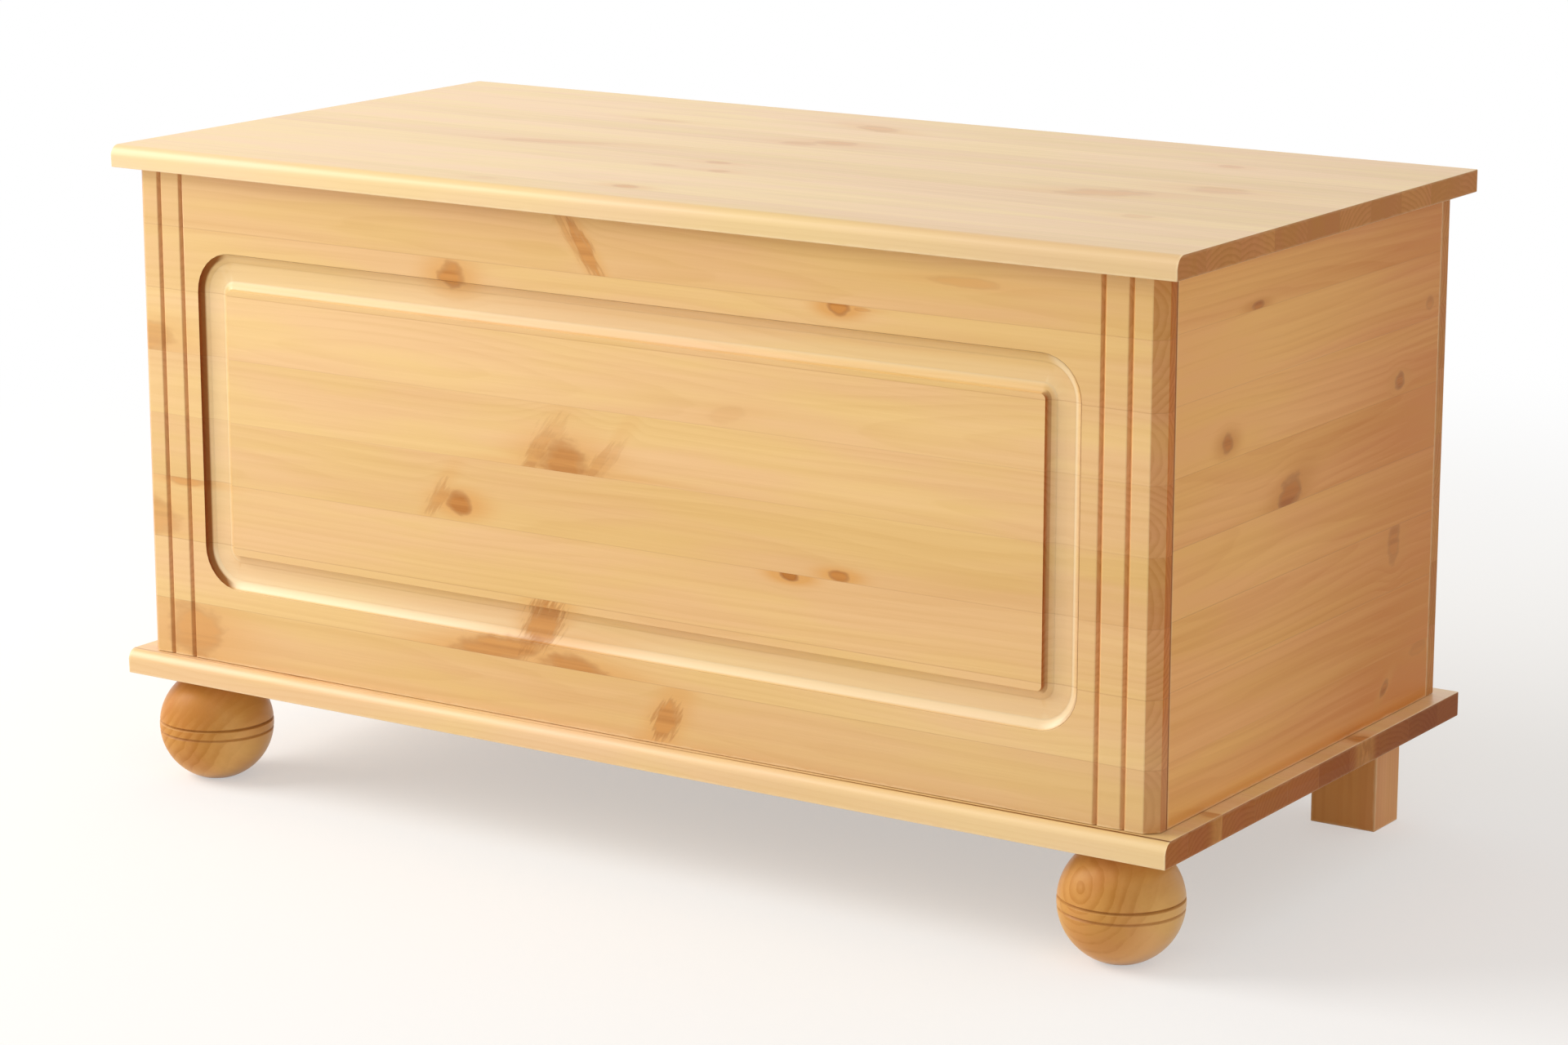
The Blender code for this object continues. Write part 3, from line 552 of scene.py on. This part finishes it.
def eased(node, radius, sharpest=30, shortest=0.006):
    """A CAD piece's own shape, with its long arrises eased as sandpaper leaves them."""
    shape = joined(node)
    arrises = [
        edge
        for edge in shape.edges
        if edge.is_manifold
        and edge.is_convex
        and edge.calc_length() > shortest
        and edge.calc_face_angle() > math.radians(sharpest)
    ]
    bmesh.ops.bevel(
        shape,
        geom=arrises,
        offset=radius,
        segments=EASE_SEGMENTS,
        profile=0.5,
        affect="EDGES",
        clamp_overlap=False,
        material=-1,
    )
    bmesh.ops.remove_doubles(shape, verts=shape.verts, dist=2 * JOIN_REACH)
    return shape


def base_painted_light_and_shade(graph, place, normal):
    """Painted shade and light: the right end is browner to the back, the left end and front's right paler,
    the left deeper.
    """
    parts = graph.node("SeparateXYZ", (place,)).outputs
    facing = graph.node("SeparateXYZ", (normal,)).outputs
    back = graph.rise(parts[1], -0.10, 0.25)
    scorch = graph.times(graph.times(back, graph.rise(facing[0], 0.40, 0.90)), 0.46)
    left_end = graph.times(graph.rise(facing[0], -0.40, -0.90), 0.36)
    right = graph.times(graph.rise(parts[0], 0.0, 0.45), graph.rise(facing[1], -0.30, -0.80))
    right = graph.times(right, 0.20)
    depth = graph.times(graph.rise(parts[0], 0.1, -0.4), 0.22)
    return {"scorch": scorch, "fresh": graph.larger(left_end, right), "depth": depth}


base_pine = pine(
    "base_pine",
    "base_board",
    "XYZ",
    BASE_KNOTS + scattered_knots(5, (-0.45, -0.20), (0.45, 0.22), 6),
    pale=BASE_PALE,
    deep=BASE_DEEP,
    cut=BASE_CUT,
    seed=4.0,
    marks_and_painted_light=base_painted_light_and_shade,
)
base_shape = eased("base_board", BASE_EASE)
finished("base_board_pine", base_shape, base_pine, "base_board", "carcass")

# Front board
# A glued pine board that laps the side boards' ends. Its outer arrises are chamfered, two V grooves run down
# each side of it, and a moulding with steep walls and a dished floor is routed round its field.
FRONT_KNOTS = [
    (-0.1440, 0.4310, 0.0100, 0.0100, 0, 1.0),
    (-0.022, 0.4620, 0.0240, 0.0055, -55, 0.80),
    (-0.036, 0.4700, 0.0200, 0.0026, -55, 0.40),
    (0.195, 0.4415, 0.0080, 0.0050, 0, 1.5),
    (0.215, 0.4420, 0.0060, 0.0012, 0, 0.5),
    (-0.042, 0.3005, 0.0190, 0.0170, 0, 0.85),
    (-0.068, 0.3060, 0.0200, 0.0070, 52, 0.45),
    (-0.055, 0.3220, 0.0170, 0.0100, 50, 0.22),
    (-0.014, 0.3030, 0.0200, 0.0042, 50, 0.38),
    (-0.002, 0.3080, 0.0180, 0.0034, 54, 0.24),
    (-0.036, 0.2985, 0.0320, 0.0030, 0, 0.55),
    (-0.139, 0.2600, 0.0105, 0.0078, 0, 1.1),
    (-0.160, 0.2620, 0.0140, 0.0060, 58, 0.45),
    (0.155, 0.2455, 0.0080, 0.0042, 0, 1.7),
    (0.197, 0.2505, 0.0078, 0.0038, 0, 1.3),
    (-0.105, 0.1550, 0.0400, 0.0080, 8, 0.76),
    (-0.036, 0.1500, 0.0270, 0.0080, -4, 0.80),
    (-0.066, 0.1780, 0.0240, 0.0130, 58, 0.80),
    (0.047, 0.1220, 0.0150, 0.0100, 58, 0.80),
    (-0.402, 0.1250, 0.0240, 0.0200, 0, 0.55),
    (-0.407, 0.2440, 0.0180, 0.0032, 0, 0.60),
    (-0.445, 0.2120, 0.0260, 0.0150, 0, 0.45),
    (-0.443, 0.3560, 0.0240, 0.0120, 0, 0.45),
    (0.100, 0.3550, 0.0150, 0.0060, 10, 0.14),
    (0.297, 0.4690, 0.0260, 0.0034, 0, 0.30),
]
MOULDING_WIDTH = 0.028
MOULDING_FROM_SIDE = 0.062
MOULDING_FROM_TOP = 0.0595
MOULDING_FROM_BOTTOM = 0.060
MOULDING_WALL_WIDTH = 0.0012
GROOVES_FROM_SIDE = (0.025, 0.0464)
front_low, front_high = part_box("front_panel")
GROOVE_LINES = [front_high[0] - inset for inset in GROOVES_FROM_SIDE]
FIELD_SIDE = front_high[0] - MOULDING_FROM_SIDE - MOULDING_WIDTH
FIELD_TOP = front_high[2] - MOULDING_FROM_TOP - MOULDING_WIDTH
FIELD_BOTTOM = front_low[2] + MOULDING_FROM_BOTTOM + MOULDING_WIDTH
FIELD_CORNER = 0.004
# The middle of each steep wall, as its distance out from the field
MOULDING_WALLS = (MOULDING_WALL_WIDTH / 2, MOULDING_WIDTH - MOULDING_WALL_WIDTH / 2)
FRONT_CUT = (0.76, 0.42, 0.24, 1)
FRONT_EASE = 0.0006
SCORCH_AND_SHADE_REACH = 0.0026
SCORCH_AND_SHADE_CORE = 0.0018


def routed_marks_and_painted_light(graph, place, normal):
    """End grain walls get scorch and painted shade; the dish gets a painted highlight facing up or left."""
    parts = graph.node("SeparateXYZ", (place,)).outputs
    facing = graph.node("SeparateXYZ", (normal,)).outputs
    centred = graph.vector("SUBTRACT", place, (0, 0, (FIELD_TOP + FIELD_BOTTOM) / 2))
    apart = graph.node("SeparateXYZ", (graph.vector("ABSOLUTE", centred),)).outputs
    beyond_side = graph.minus(apart[0], FIELD_SIDE - FIELD_CORNER)
    beyond_top = graph.minus(apart[2], (FIELD_TOP - FIELD_BOTTOM) / 2 - FIELD_CORNER)
    reach = (graph.larger(beyond_side, 0.0), 0.0, graph.larger(beyond_top, 0.0))
    outside = graph.node("CombineXYZ", reach).outputs[0]
    out = graph.minus(graph.vector("LENGTH", outside), FIELD_CORNER)
    left = graph.rise(parts[0], 0.01, -0.01)
    # Painted shade by side: the outer left wall is the darkest and the field's right one less so. The left V
    # grooves are least
    wall_share = graph.plus(0.42, graph.times(left, 0.52))
    groove_share = graph.times(left, 0.16)
    outer_reach = graph.plus(SCORCH_AND_SHADE_REACH, graph.times(left, 0.0014))
    lines = [
        (out, MOULDING_WALLS[0], wall_share, SCORCH_AND_SHADE_REACH),
        (out, MOULDING_WALLS[1], wall_share, outer_reach),
    ]
    lines += [(apart[0], line, groove_share, SCORCH_AND_SHADE_REACH) for line in GROOVE_LINES]
    scorch = 0.0
    for distance, line, share, width in lines:
        near = graph.maths("ABSOLUTE", graph.minus(distance, line))
        burnt = graph.times(graph.rise(near, width, SCORCH_AND_SHADE_CORE), share)
        scorch = graph.larger(scorch, burnt)
    # The painted shade falls only on walls turned right, away from the lamp
    scorch = graph.times(scorch, graph.rise(facing[0], 0.08, 0.34))
    # Outer walls turned left, towards the lamp, get a little painted shade
    from_outer = graph.maths("ABSOLUTE", graph.minus(out, MOULDING_WALLS[1]))
    outer = graph.rise(from_outer, 0.0030, SCORCH_AND_SHADE_CORE)
    outer = graph.times(outer, graph.rise(facing[0], -0.15, -0.50))
    scorch = graph.larger(scorch, graph.times(outer, 0.26))
    # The joint with the side board shows as a dark line
    back = front_high[1]
    joint = graph.times(graph.rise(parts[1], back - 0.0014, back - 0.0004), 0.45)
    scorch = graph.larger(scorch, joint)
    # Painted highlight where the dish faces left or up towards the lamp, and a painted sheen to the left
    dish = graph.times(graph.rise(out, 0.0030, 0.0080), graph.rise(out, MOULDING_WIDTH, 0.0270))
    leftward = graph.rise(facing[0], -0.02, -0.20)
    leftward = graph.times(leftward, graph.rise(facing[0], -0.50, -0.34))
    leftward = graph.times(leftward, 0.55)
    upward = graph.times(graph.rise(facing[2], -0.10, 0.14), 0.50)
    lit = graph.larger(leftward, upward)
    painted_sheen = graph.times(graph.rise(parts[0], 0.15, -0.45), 0.10)
    fresh = graph.plus(graph.times(dish, lit), painted_sheen)
    # The board is painted deeper along its top, as shade under the lid, and paler at the bottom right as
    # painted light
    low_right = graph.times(graph.rise(parts[2], 0.20, 0.15), graph.rise(parts[0], -0.1, 0.3))
    fresh = graph.plus(fresh, graph.times(low_right, 0.13))
    depth = graph.times(graph.rise(parts[2], 0.39, 0.46), 0.09)
    return {"scorch": scorch, "fresh": fresh, "depth": depth}


front_pine = pine(
    "front_pine",
    "front_panel",
    "XZY",
    FRONT_KNOTS,
    stave=(STAVE_WIDTH, -0.0490),
    seed=7387.0,
    marks_and_painted_light=routed_marks_and_painted_light,
    cut=FRONT_CUT,
)
front_shape = eased("front_panel", FRONT_EASE, sharpest=40)
finished("front_board_pine", front_shape, front_pine, "front_panel", "carcass")

# Side boards and back board
# Glued pine boards. The sides stand between front and back; the back is thinner and laps their ends.
# The right side board's colours are a shaded copy of pine, deeper and more orange, as painted shade
SHADED_SIDE_PALE = (0.920, 0.480, 0.150, 1)
SHADED_SIDE_DEEP = (0.670, 0.245, 0.036, 1)
SIDE_LACQUER = 0.28
SIDE_STAVE_WIDTH = 0.0493
SHADED_SIDE_KNOT_TINT = (0.94, 0.78, 0.58, 1)
SIDE_EASE = 0.0006
SIDE_KNOTS = [
    (-0.087, 0.4490, 0.0080, 0.0030, 0, 1.1),
    (-0.1266, 0.3590, 0.0070, 0.0065, 0, 1.0),
    (0.142, 0.3585, 0.0070, 0.0055, 0, 1.2),
    (-0.030, 0.3060, 0.0160, 0.0110, 20, 1.1),
    (0.141, 0.2370, 0.0090, 0.0140, 0, 0.7),
    (0.132, 0.1265, 0.0080, 0.0040, 40, 1.0),
    (0.1895, 0.1460, 0.0120, 0.0050, 0, 0.4),
    (0.1895, 0.4090, 0.0060, 0.0050, 0, 0.6),
]


def right_side_painted_shade(graph, place, normal):
    """Painted shade deepens the right side to the back, its inside is left paler, and its joint with the
    front is dark.
    """
    back = graph.node("SeparateXYZ", (place,)).outputs[1]
    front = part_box("side_panel_right")[0][1]
    depth = graph.minus(graph.times(graph.rise(back, -0.16, 0.26), 0.98), 0.24)
    scorch = graph.times(graph.rise(back, front + 0.0014, front + 0.0005), 0.65)
    facing = graph.node("SeparateXYZ", (normal,)).outputs
    inside = graph.larger(graph.rise(facing[0], 0.0, -0.5), graph.rise(facing[2], 0.4, 0.8))
    return {"depth": depth, "scorch": scorch, "fresh": graph.times(inside, 0.40)}


right_pine = pine(
    "right_side_pine",
    "side_panel_right",
    "YZX",
    SIDE_KNOTS,
    stave=(SIDE_STAVE_WIDTH, -0.0025),
    pale=SHADED_SIDE_PALE,
    deep=SHADED_SIDE_DEEP,
    seed=8889.0,
    marks_and_painted_light=right_side_painted_shade,
    knot_tint=SHADED_SIDE_KNOT_TINT,
    lacquer=SIDE_LACQUER,
)
left_pine = pine(
    "left_side_pine",
    "side_panel_left",
    "YZX",
    scattered_knots(3, (-0.2, 0.11), (0.2, 0.48), 8),
    stave=(SIDE_STAVE_WIDTH, -0.0025),
    seed=21.0,
)
back_pine = pine(
    "back_pine",
    "back_panel",
    "XZY",
    scattered_knots(8, (-0.43, 0.11), (0.43, 0.48), 14),
    stave=(STAVE_WIDTH, -0.0100),
    seed=31.0,
)
for node, material in (
    ("side_panel_right", right_pine),
    ("side_panel_left", left_pine),
    ("back_panel", back_pine),
):
    finished(node + "_pine", eased(node, SIDE_EASE), material, node, "carcass")

# Corner cleats and hinge rail
# Square pine strips glued into the four inner corners, and a rail along the back that holds the hinges. They
# are planed and have no lacquer, so they are paler and duller than the boards.
INNER_PALE = (0.860, 0.640, 0.370, 1)
INNER_DEEP = (0.740, 0.500, 0.250, 1)
WHOLE_STRIP = 0.2


def bare_strip(node, body, grain, shift, seed, radius):
    """A strip inside the chest, made of one stave and left without lacquer."""
    planed = pine(
        node + "_pine",
        node,
        grain,
        stave=(WHOLE_STRIP, shift),
        pale=INNER_PALE,
        deep=INNER_DEEP,
        seed=seed,
        lacquer=0.0,
    )
    finished(node + "_pine", eased(node, radius), planed, node, body)


CLEATS = (
    "corner_cleat_front_left",
    "corner_cleat_front_right",
    "corner_cleat_rear_left",
    "corner_cleat_rear_right",
)
for number, node in enumerate(CLEATS):
    bare_strip(node, "carcass", "ZXY", 0.1, 40.0 + number, 0.0006)
bare_strip("hinge_rail", "carcass", "XZY", 0.0, 46.0, 0.0005)

# Ball feet
# Turned from blocks whose grain runs front to back, so the right one shows its growth rings. Two lines are
# turned round the middle, the upper one a deep V and the lower one fine. A bolt comes down into each ball.
BALL_RADIUS = 0.045
BALL_FLAT_RADIUS = 0.014
BALL_FLAT_EASE = 0.0012
BALL_LINE_SPACING = 0.0077
# The lower line and the upper one: depth and half width
BALL_LINES = ((0.0010, 0.0013), (0.0018, 0.0013))
BOLT_BORE_RADIUS = 0.0033
BOLT_BORE_TIP = 0.0387
BOLT_BORE_END = 0.0450
BALL_STEPS = 96
ARC_STEPS = 20
BALL_CENTRE = math.sqrt(BALL_RADIUS**2 - BALL_FLAT_RADIUS**2)
BALL_PALE = (0.820, 0.470, 0.165, 1)
BALL_DEEP = (0.650, 0.315, 0.080, 1)
BALL_CUT = (0.80, 0.68, 0.56, 1)
BALL_RING_SPACING = 0.0075
BALL_LACQUER = 0.54


def ball_outline(top):
    """The ball's half outline, from the middle of its flat foot to the bottom of the bolt's bore."""

    def arc(first, last):
        turns = [math.asin((height - BALL_CENTRE) / BALL_RADIUS) for height in (first, last)]
        steps = [turns[0] + (turns[1] - turns[0]) * step / ARC_STEPS for step in range(ARC_STEPS + 1)]
        return [(BALL_RADIUS * math.cos(turn), BALL_CENTRE + BALL_RADIUS * math.sin(turn)) for turn in steps]

    outline = [(0, 0), (BALL_FLAT_RADIUS - BALL_FLAT_EASE, 0)]
    start = BALL_FLAT_EASE / 2
    for side, (depth, half) in zip((-1, 1), BALL_LINES):
        line = BALL_CENTRE + side * BALL_LINE_SPACING / 2
        bottom = math.sqrt(BALL_RADIUS**2 - (line - BALL_CENTRE) ** 2) - depth
        outline += arc(start, line - half) + [(bottom, line)]
        start = line + half
    outline += arc(start, top)
    return outline + [(BOLT_BORE_RADIUS, top), (BOLT_BORE_RADIUS, BOLT_BORE_END), (0, BOLT_BORE_TIP)]


def turned_on_lathe(outline, place, steps):
    """A half outline of radius and height, turned once round an upright line through a place."""
    shape = bmesh.new()
    points = [shape.verts.new((place[0] + radius, place[1], height)) for radius, height in outline]
    edges = [shape.edges.new(pair) for pair in zip(points, points[1:])]
    bmesh.ops.spin(
        shape,
        geom=points + edges,
        cent=(place[0], place[1], 0),
        axis=(0, 0, 1),
        angle=math.tau,
        steps=steps,
        use_merge=True,
    )
    bmesh.ops.remove_doubles(shape, verts=shape.verts, dist=0.000001)
    bmesh.ops.recalc_face_normals(shape, faces=shape.faces)
    return shape


def turned_lines_and_painted_shade(graph, place, normal):
    """The two turned lines are burnished brown, and painted shade makes the ball deeper above them than
    below.
    """
    height = graph.node("SeparateXYZ", (place,)).outputs[2]
    brown = 0.0
    for side, (depth, half) in zip((-1, 1), BALL_LINES):
        line = BALL_CENTRE + side * BALL_LINE_SPACING / 2
        near = graph.maths("ABSOLUTE", graph.minus(height, line))
        brown = graph.larger(brown, graph.rise(near, half * 1.2, half * 0.5))
    above = graph.times(graph.rise(height, BALL_CENTRE - 0.010, BALL_CENTRE + 0.022), 0.62)
    depth = graph.minus(above, 0.24)
    return {"scorch": graph.times(brown, 0.42), "depth": depth}


# The heart of each block's tree, from the ball's middle: right and up. The left block's lies outside it
BALL_HEARTS = {"foot_ball_left": (-0.070, 0.060), "foot_ball_right": (-0.010, 0.018)}
for number, (node, heart) in enumerate(BALL_HEARTS.items()):
    low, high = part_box(node)
    middle = ((low[0] + high[0]) / 2, (low[1] + high[1]) / 2)
    ball_pine = pine(
        node + "_pine",
        node,
        "YXZ",
        stave=(2.0, 1.0 - middle[0]),
        pale=BALL_PALE,
        deep=BALL_DEEP,
        cut=BALL_CUT,
        seed=50.0 + number,
        marks_and_painted_light=turned_lines_and_painted_shade,
        heart=(heart[0], (low[2] + high[2]) / 2 - BALL_CENTRE - heart[1], 0),
        ring_spacing=BALL_RING_SPACING,
        lacquer=BALL_LACQUER,
    )
    shape = turned_on_lathe(ball_outline(high[2]), middle, BALL_STEPS)
    finished(node + "_pine", shape, ball_pine, node, "carcass")

# Rear legs
# Square blocks of pine with upright grain, screwed down through the base.
LEG_PALE = (0.830, 0.420, 0.155, 1)
LEG_DEEP = (0.670, 0.270, 0.080, 1)
LEG_EASE = 0.0008
for number, node in enumerate(("rear_leg_left", "rear_leg_right")):
    leg_pine = pine(
        node + "_pine",
        node,
        "ZXY",
        stave=(WHOLE_STRIP, 0.1),
        pale=LEG_PALE,
        deep=LEG_DEEP,
        seed=60.0 + number,
        lacquer=SIDE_LACQUER,
    )
    finished(node + "_pine", eased(node, LEG_EASE), leg_pine, node, "carcass")

# Lid
# A glued pine board like the base, with the same round along its front edge.
LID_PALE = (0.900, 0.640, 0.330, 1)
LID_DEEP = (0.740, 0.490, 0.210, 1)
LID_CUT = (0.70, 0.43, 0.27, 1)
LID_LACQUER = 0.58
LID_EASE = 0.0008
LID_KNOTS = [
    (-0.020, 0.1715, 0.0200, 0.0100, -20, 0.42),
    (-0.192, 0.1190, 0.0200, 0.0060, 0, 0.20),
    (-0.005, 0.0860, 0.0160, 0.0100, 0, 0.45),
    (-0.028, 0.0700, 0.0140, 0.0090, 0, 0.30),
    (0.307, 0.1445, 0.0090, 0.0065, 0, 0.35),
    (0.355, 0.0360, 0.0220, 0.0140, 0, 0.32),
    (0.290, -0.0180, 0.0300, 0.0140, 20, 0.42),
    (-0.190, -0.0250, 0.0460, 0.0080, 15, 0.25),
    (-0.022, -0.0480, 0.0100, 0.0055, 0, 0.40),
    (0.002, -0.0830, 0.0090, 0.0055, 0, 0.35),
    (-0.050, -0.0800, 0.0100, 0.0045, 0, 0.20),
    (-0.012, -0.1820, 0.0100, 0.0065, 0, 0.55),
    (0.362, -0.0980, 0.0110, 0.0085, 0, 0.25),
    (-0.125, -0.2050, 0.0120, 0.0055, 0, 0.15),
]


def lid_painted_light_and_shade(graph, place, normal):
    """Painted shade deepens the lid towards its right end; its front edge and left end get painted light."""
    depth = graph.times(graph.node("SeparateXYZ", (place,)).outputs[0], 0.80)
    facing = graph.node("SeparateXYZ", (normal,)).outputs
    front = graph.rise(facing[1], -0.30, -0.80)
    paler = graph.larger(front, graph.rise(facing[0], -0.40, -0.90))
    return {"depth": depth, "fresh": graph.times(paler, 0.22)}


lid_pine = pine(
    "lid_pine",
    "lid_panel",
    "XYZ",
    LID_KNOTS,
    stave=(STAVE_WIDTH, -0.0070),
    pale=LID_PALE,
    deep=LID_DEEP,
    seed=38119.0,
    marks_and_painted_light=lid_painted_light_and_shade,
    cut=LID_CUT,
    lacquer=LID_LACQUER,
)
finished("lid_board_pine", eased("lid_panel", LID_EASE), lid_pine, "lid_panel", "lid")

# Lid battens
# Two pine strips screwed across the lid's inner face, which keep it flat. They are bare, like the cleats.
for number, node in enumerate(("lid_batten_left", "lid_batten_right")):
    bare_strip(node, "lid", "YXZ", 0.1, 70.0 + number, 0.0008)

# Screws and bolts
# Bright zinc plated steel, with countersunk heads and cross recesses. They hold the boards, battens, legs,
# feet and hinges. Each is made in its CAD node's place, head first, with a short tip.
zinc = bpy.data.materials.new("bright_zinc")
zinc.use_nodes = True
shader = zinc.node_tree.nodes["Principled BSDF"]
graph = Graph(zinc.node_tree)
place = graph.node("TexCoord").outputs["Object"]
cloud = graph.noise(place, 260.0, 3.0)
scratch = graph.noise(graph.vector("MULTIPLY", place, (120.0, 2400.0, 2400.0)), 1.0, 2.0)
colour = graph.mix(cloud, (0.62, 0.61, 0.58, 1), (0.78, 0.77, 0.74, 1))
zinc.node_tree.links.new(colour, shader.inputs["Base Color"])
rough = graph.plus(0.22, graph.times(scratch, 0.22))
zinc.node_tree.links.new(rough, shader.inputs["Roughness"])
bump = graph.node("Bump", {"Strength": 0.2, "Distance": 0.0001, "Height": scratch})
zinc.node_tree.links.new(bump.outputs[0], shader.inputs["Normal"])
shader.inputs["Metallic"].default_value = 1.0

HEAD_STEPS = 24
RECESS_REACH = 0.60
RECESS_HALF_WIDTH = 0.13
RECESS_DEPTH = 0.42
RECESS_TAPER = 0.55
RIM = 0.0002
TIP_RADIUS = 0.0002


def cross_head(outline, facing, place):
    """A fastener from its head's rim down: radius and depth below the face. The head has a cross recess."""
    face_radius = outline[0][0]
    shape = bmesh.new()
    bmesh.ops.create_circle(shape, cap_ends=True, segments=HEAD_STEPS, radius=face_radius)
    reach = face_radius * RECESS_REACH
    half = face_radius * RECESS_HALF_WIDTH
    for cut in (reach, half, -half, -reach):
        for way in (Vector((1, 0, 0)), Vector((0, 1, 0))):
            everything = shape.verts[:] + shape.edges[:] + shape.faces[:]
            bmesh.ops.bisect_plane(shape, geom=everything, plane_co=way * cut, plane_no=way)

    def in_recess(face):
        x, y = (abs(value) for value in face.calc_center_median().xy)
        return min(x, y) < half and max(x, y) < reach

    rim = [edge for edge in shape.edges if edge.is_boundary]
    cross = [face for face in shape.faces if in_recess(face)]
    recess = bmesh.ops.extrude_face_region(shape, geom=cross)["geom"]
    bmesh.ops.delete(shape, geom=[face for face in cross if face.is_valid], context="FACES")
    sunk = [part for part in recess if isinstance(part, bmesh.types.BMVert)]
    bmesh.ops.translate(shape, vec=(0, 0, -face_radius * RECESS_DEPTH), verts=sunk)
    bmesh.ops.scale(shape, vec=(RECESS_TAPER, RECESS_TAPER, 1), verts=sunk)
    last_radius, last_depth = face_radius, 0.0
    for radius, depth in outline[1:]:
        grown = bmesh.ops.extrude_edge_only(shape, edges=rim)["geom"]
        rim = [part for part in grown if isinstance(part, bmesh.types.BMEdge)]
        moved = [part for part in grown if isinstance(part, bmesh.types.BMVert)]
        bmesh.ops.translate(shape, vec=(0, 0, last_depth - depth), verts=moved)
        bmesh.ops.scale(shape, vec=(radius / last_radius, radius / last_radius, 1), verts=moved)
        last_radius, last_depth = radius, depth
    bmesh.ops.holes_fill(shape, edges=rim, sides=0)
    bmesh.ops.recalc_face_normals(shape, faces=shape.faces)
    turn = Vector((0, 0, 1)).rotation_difference(facing).to_matrix().to_4x4()
    bmesh.ops.transform(shape, matrix=Matrix.Translation(place) @ turn, verts=shape.verts)
    return shape


def head_face(node, facing):
    """The middle of a fastener's head, its length and its head's radius, from its box."""
    low, high = (Vector(corner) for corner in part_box(node))
    middle = (low + high) / 2
    span = high - low
    length = abs(span.dot(facing))
    across = max(span - facing * span.dot(facing))
    return middle + facing * length / 2, length, across / 2


def countersunk(node, body, facing, shank):
    """A countersunk screw of its node's own length and head, with the given shank radius."""
    place, length, head = head_face(node, facing)
    outline = [
        (head - RIM, 0.0),
        (head, RIM),
        (shank, head - shank + RIM),
        (shank, length - min(2 * shank, length / 4)),
        (TIP_RADIUS, length),
    ]
    finished(node + "_steel", cross_head(outline, facing, place), zinc, node, body)


UP = Vector((0, 0, 1))
DOWN = Vector((0, 0, -1))
# A word in the node's name, the way its head faces, and its shank's radius
SCREW_KINDS = (
    ("base_screw", DOWN, 0.0020),
    ("batten_screw", DOWN, 0.0020),
    ("leg_screw", UP, 0.0022),
    ("foot_bolt", UP, 0.0030),
    ("hinge_body_leaf", UP, 0.0014),
    ("hinge_lid_leaf", DOWN, 0.0014),
)
for word, facing, shank in SCREW_KINDS:
    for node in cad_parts:
        if node.startswith(word) and ("screw" in node or "bolt" in node):
            body = "lid" if word in ("batten_screw", "hinge_lid_leaf") else "carcass"
            countersunk(node, body, facing, shank)

# Hinges
# Two pressed steel butt hinges. Each has a leaf on the lid, a leaf let into the back, and a headed pin.
for side in ("left", "right"):
    for node, body in (
        ("hinge_body_leaf_" + side, "carcass"),
        ("hinge_lid_leaf_" + side, "lid"),
        ("hinge_pin_" + side, "carcass"),
    ):
        finished(node + "_steel", joined(node), zinc, node, body)

# Lid stay
# A slotted flat arm that turns on a screw in the lid's batten and slides on a stud in the side board.
ARM_EASE = 0.0003
arm_shape = eased("stay_arm", ARM_EASE, sharpest=60, shortest=0.0005)
finished("stay_arm_steel", arm_shape, zinc, "stay_arm", "stay_arm")
finished("stay_washer_steel", joined("stay_washer"), zinc, "stay_washer", "lid")
OUTWARD = Vector((1, 0, 0))
PIVOT_SHANK = 0.0022
PIVOT_HEAD = 0.0015
place, length, head = head_face("stay_pivot_screw", OUTWARD)
pivot = [
    (0.0030, 0.0),
    (0.0044, 0.0002),
    (0.0052, 0.0007),
    (head, PIVOT_HEAD),
    (PIVOT_SHANK, PIVOT_HEAD),
    (PIVOT_SHANK, length - PIVOT_SHANK),
    (TIP_RADIUS, length),
]
pivot_shape = cross_head(pivot, OUTWARD, place)
finished("stay_pivot_screw_steel", pivot_shape, zinc, "stay_pivot_screw", "lid")
STUD_HEAD = 0.0020
STUD_NECK = 0.0025
STUD_COLLAR_TOP = 0.0046
STUD_COLLAR_FOOT = 0.0075
STUD_SHANK = 0.0020
place, length, head = head_face("stay_stud", -OUTWARD)
stud = [
    (0.0034, 0.0),
    (0.0046, 0.0003),
    (head, 0.0011),
    (head, STUD_HEAD),
    (STUD_NECK, STUD_HEAD),
    (STUD_NECK, STUD_COLLAR_TOP),
    (head, STUD_COLLAR_TOP),
    (head, STUD_COLLAR_FOOT),
    (STUD_SHANK, STUD_COLLAR_FOOT),
    (STUD_SHANK, length - STUD_SHANK),
    (TIP_RADIUS, length),
]
finished("stay_stud_steel", cross_head(stud, -OUTWARD, place), zinc, "stay_stud", "carcass")

low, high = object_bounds()
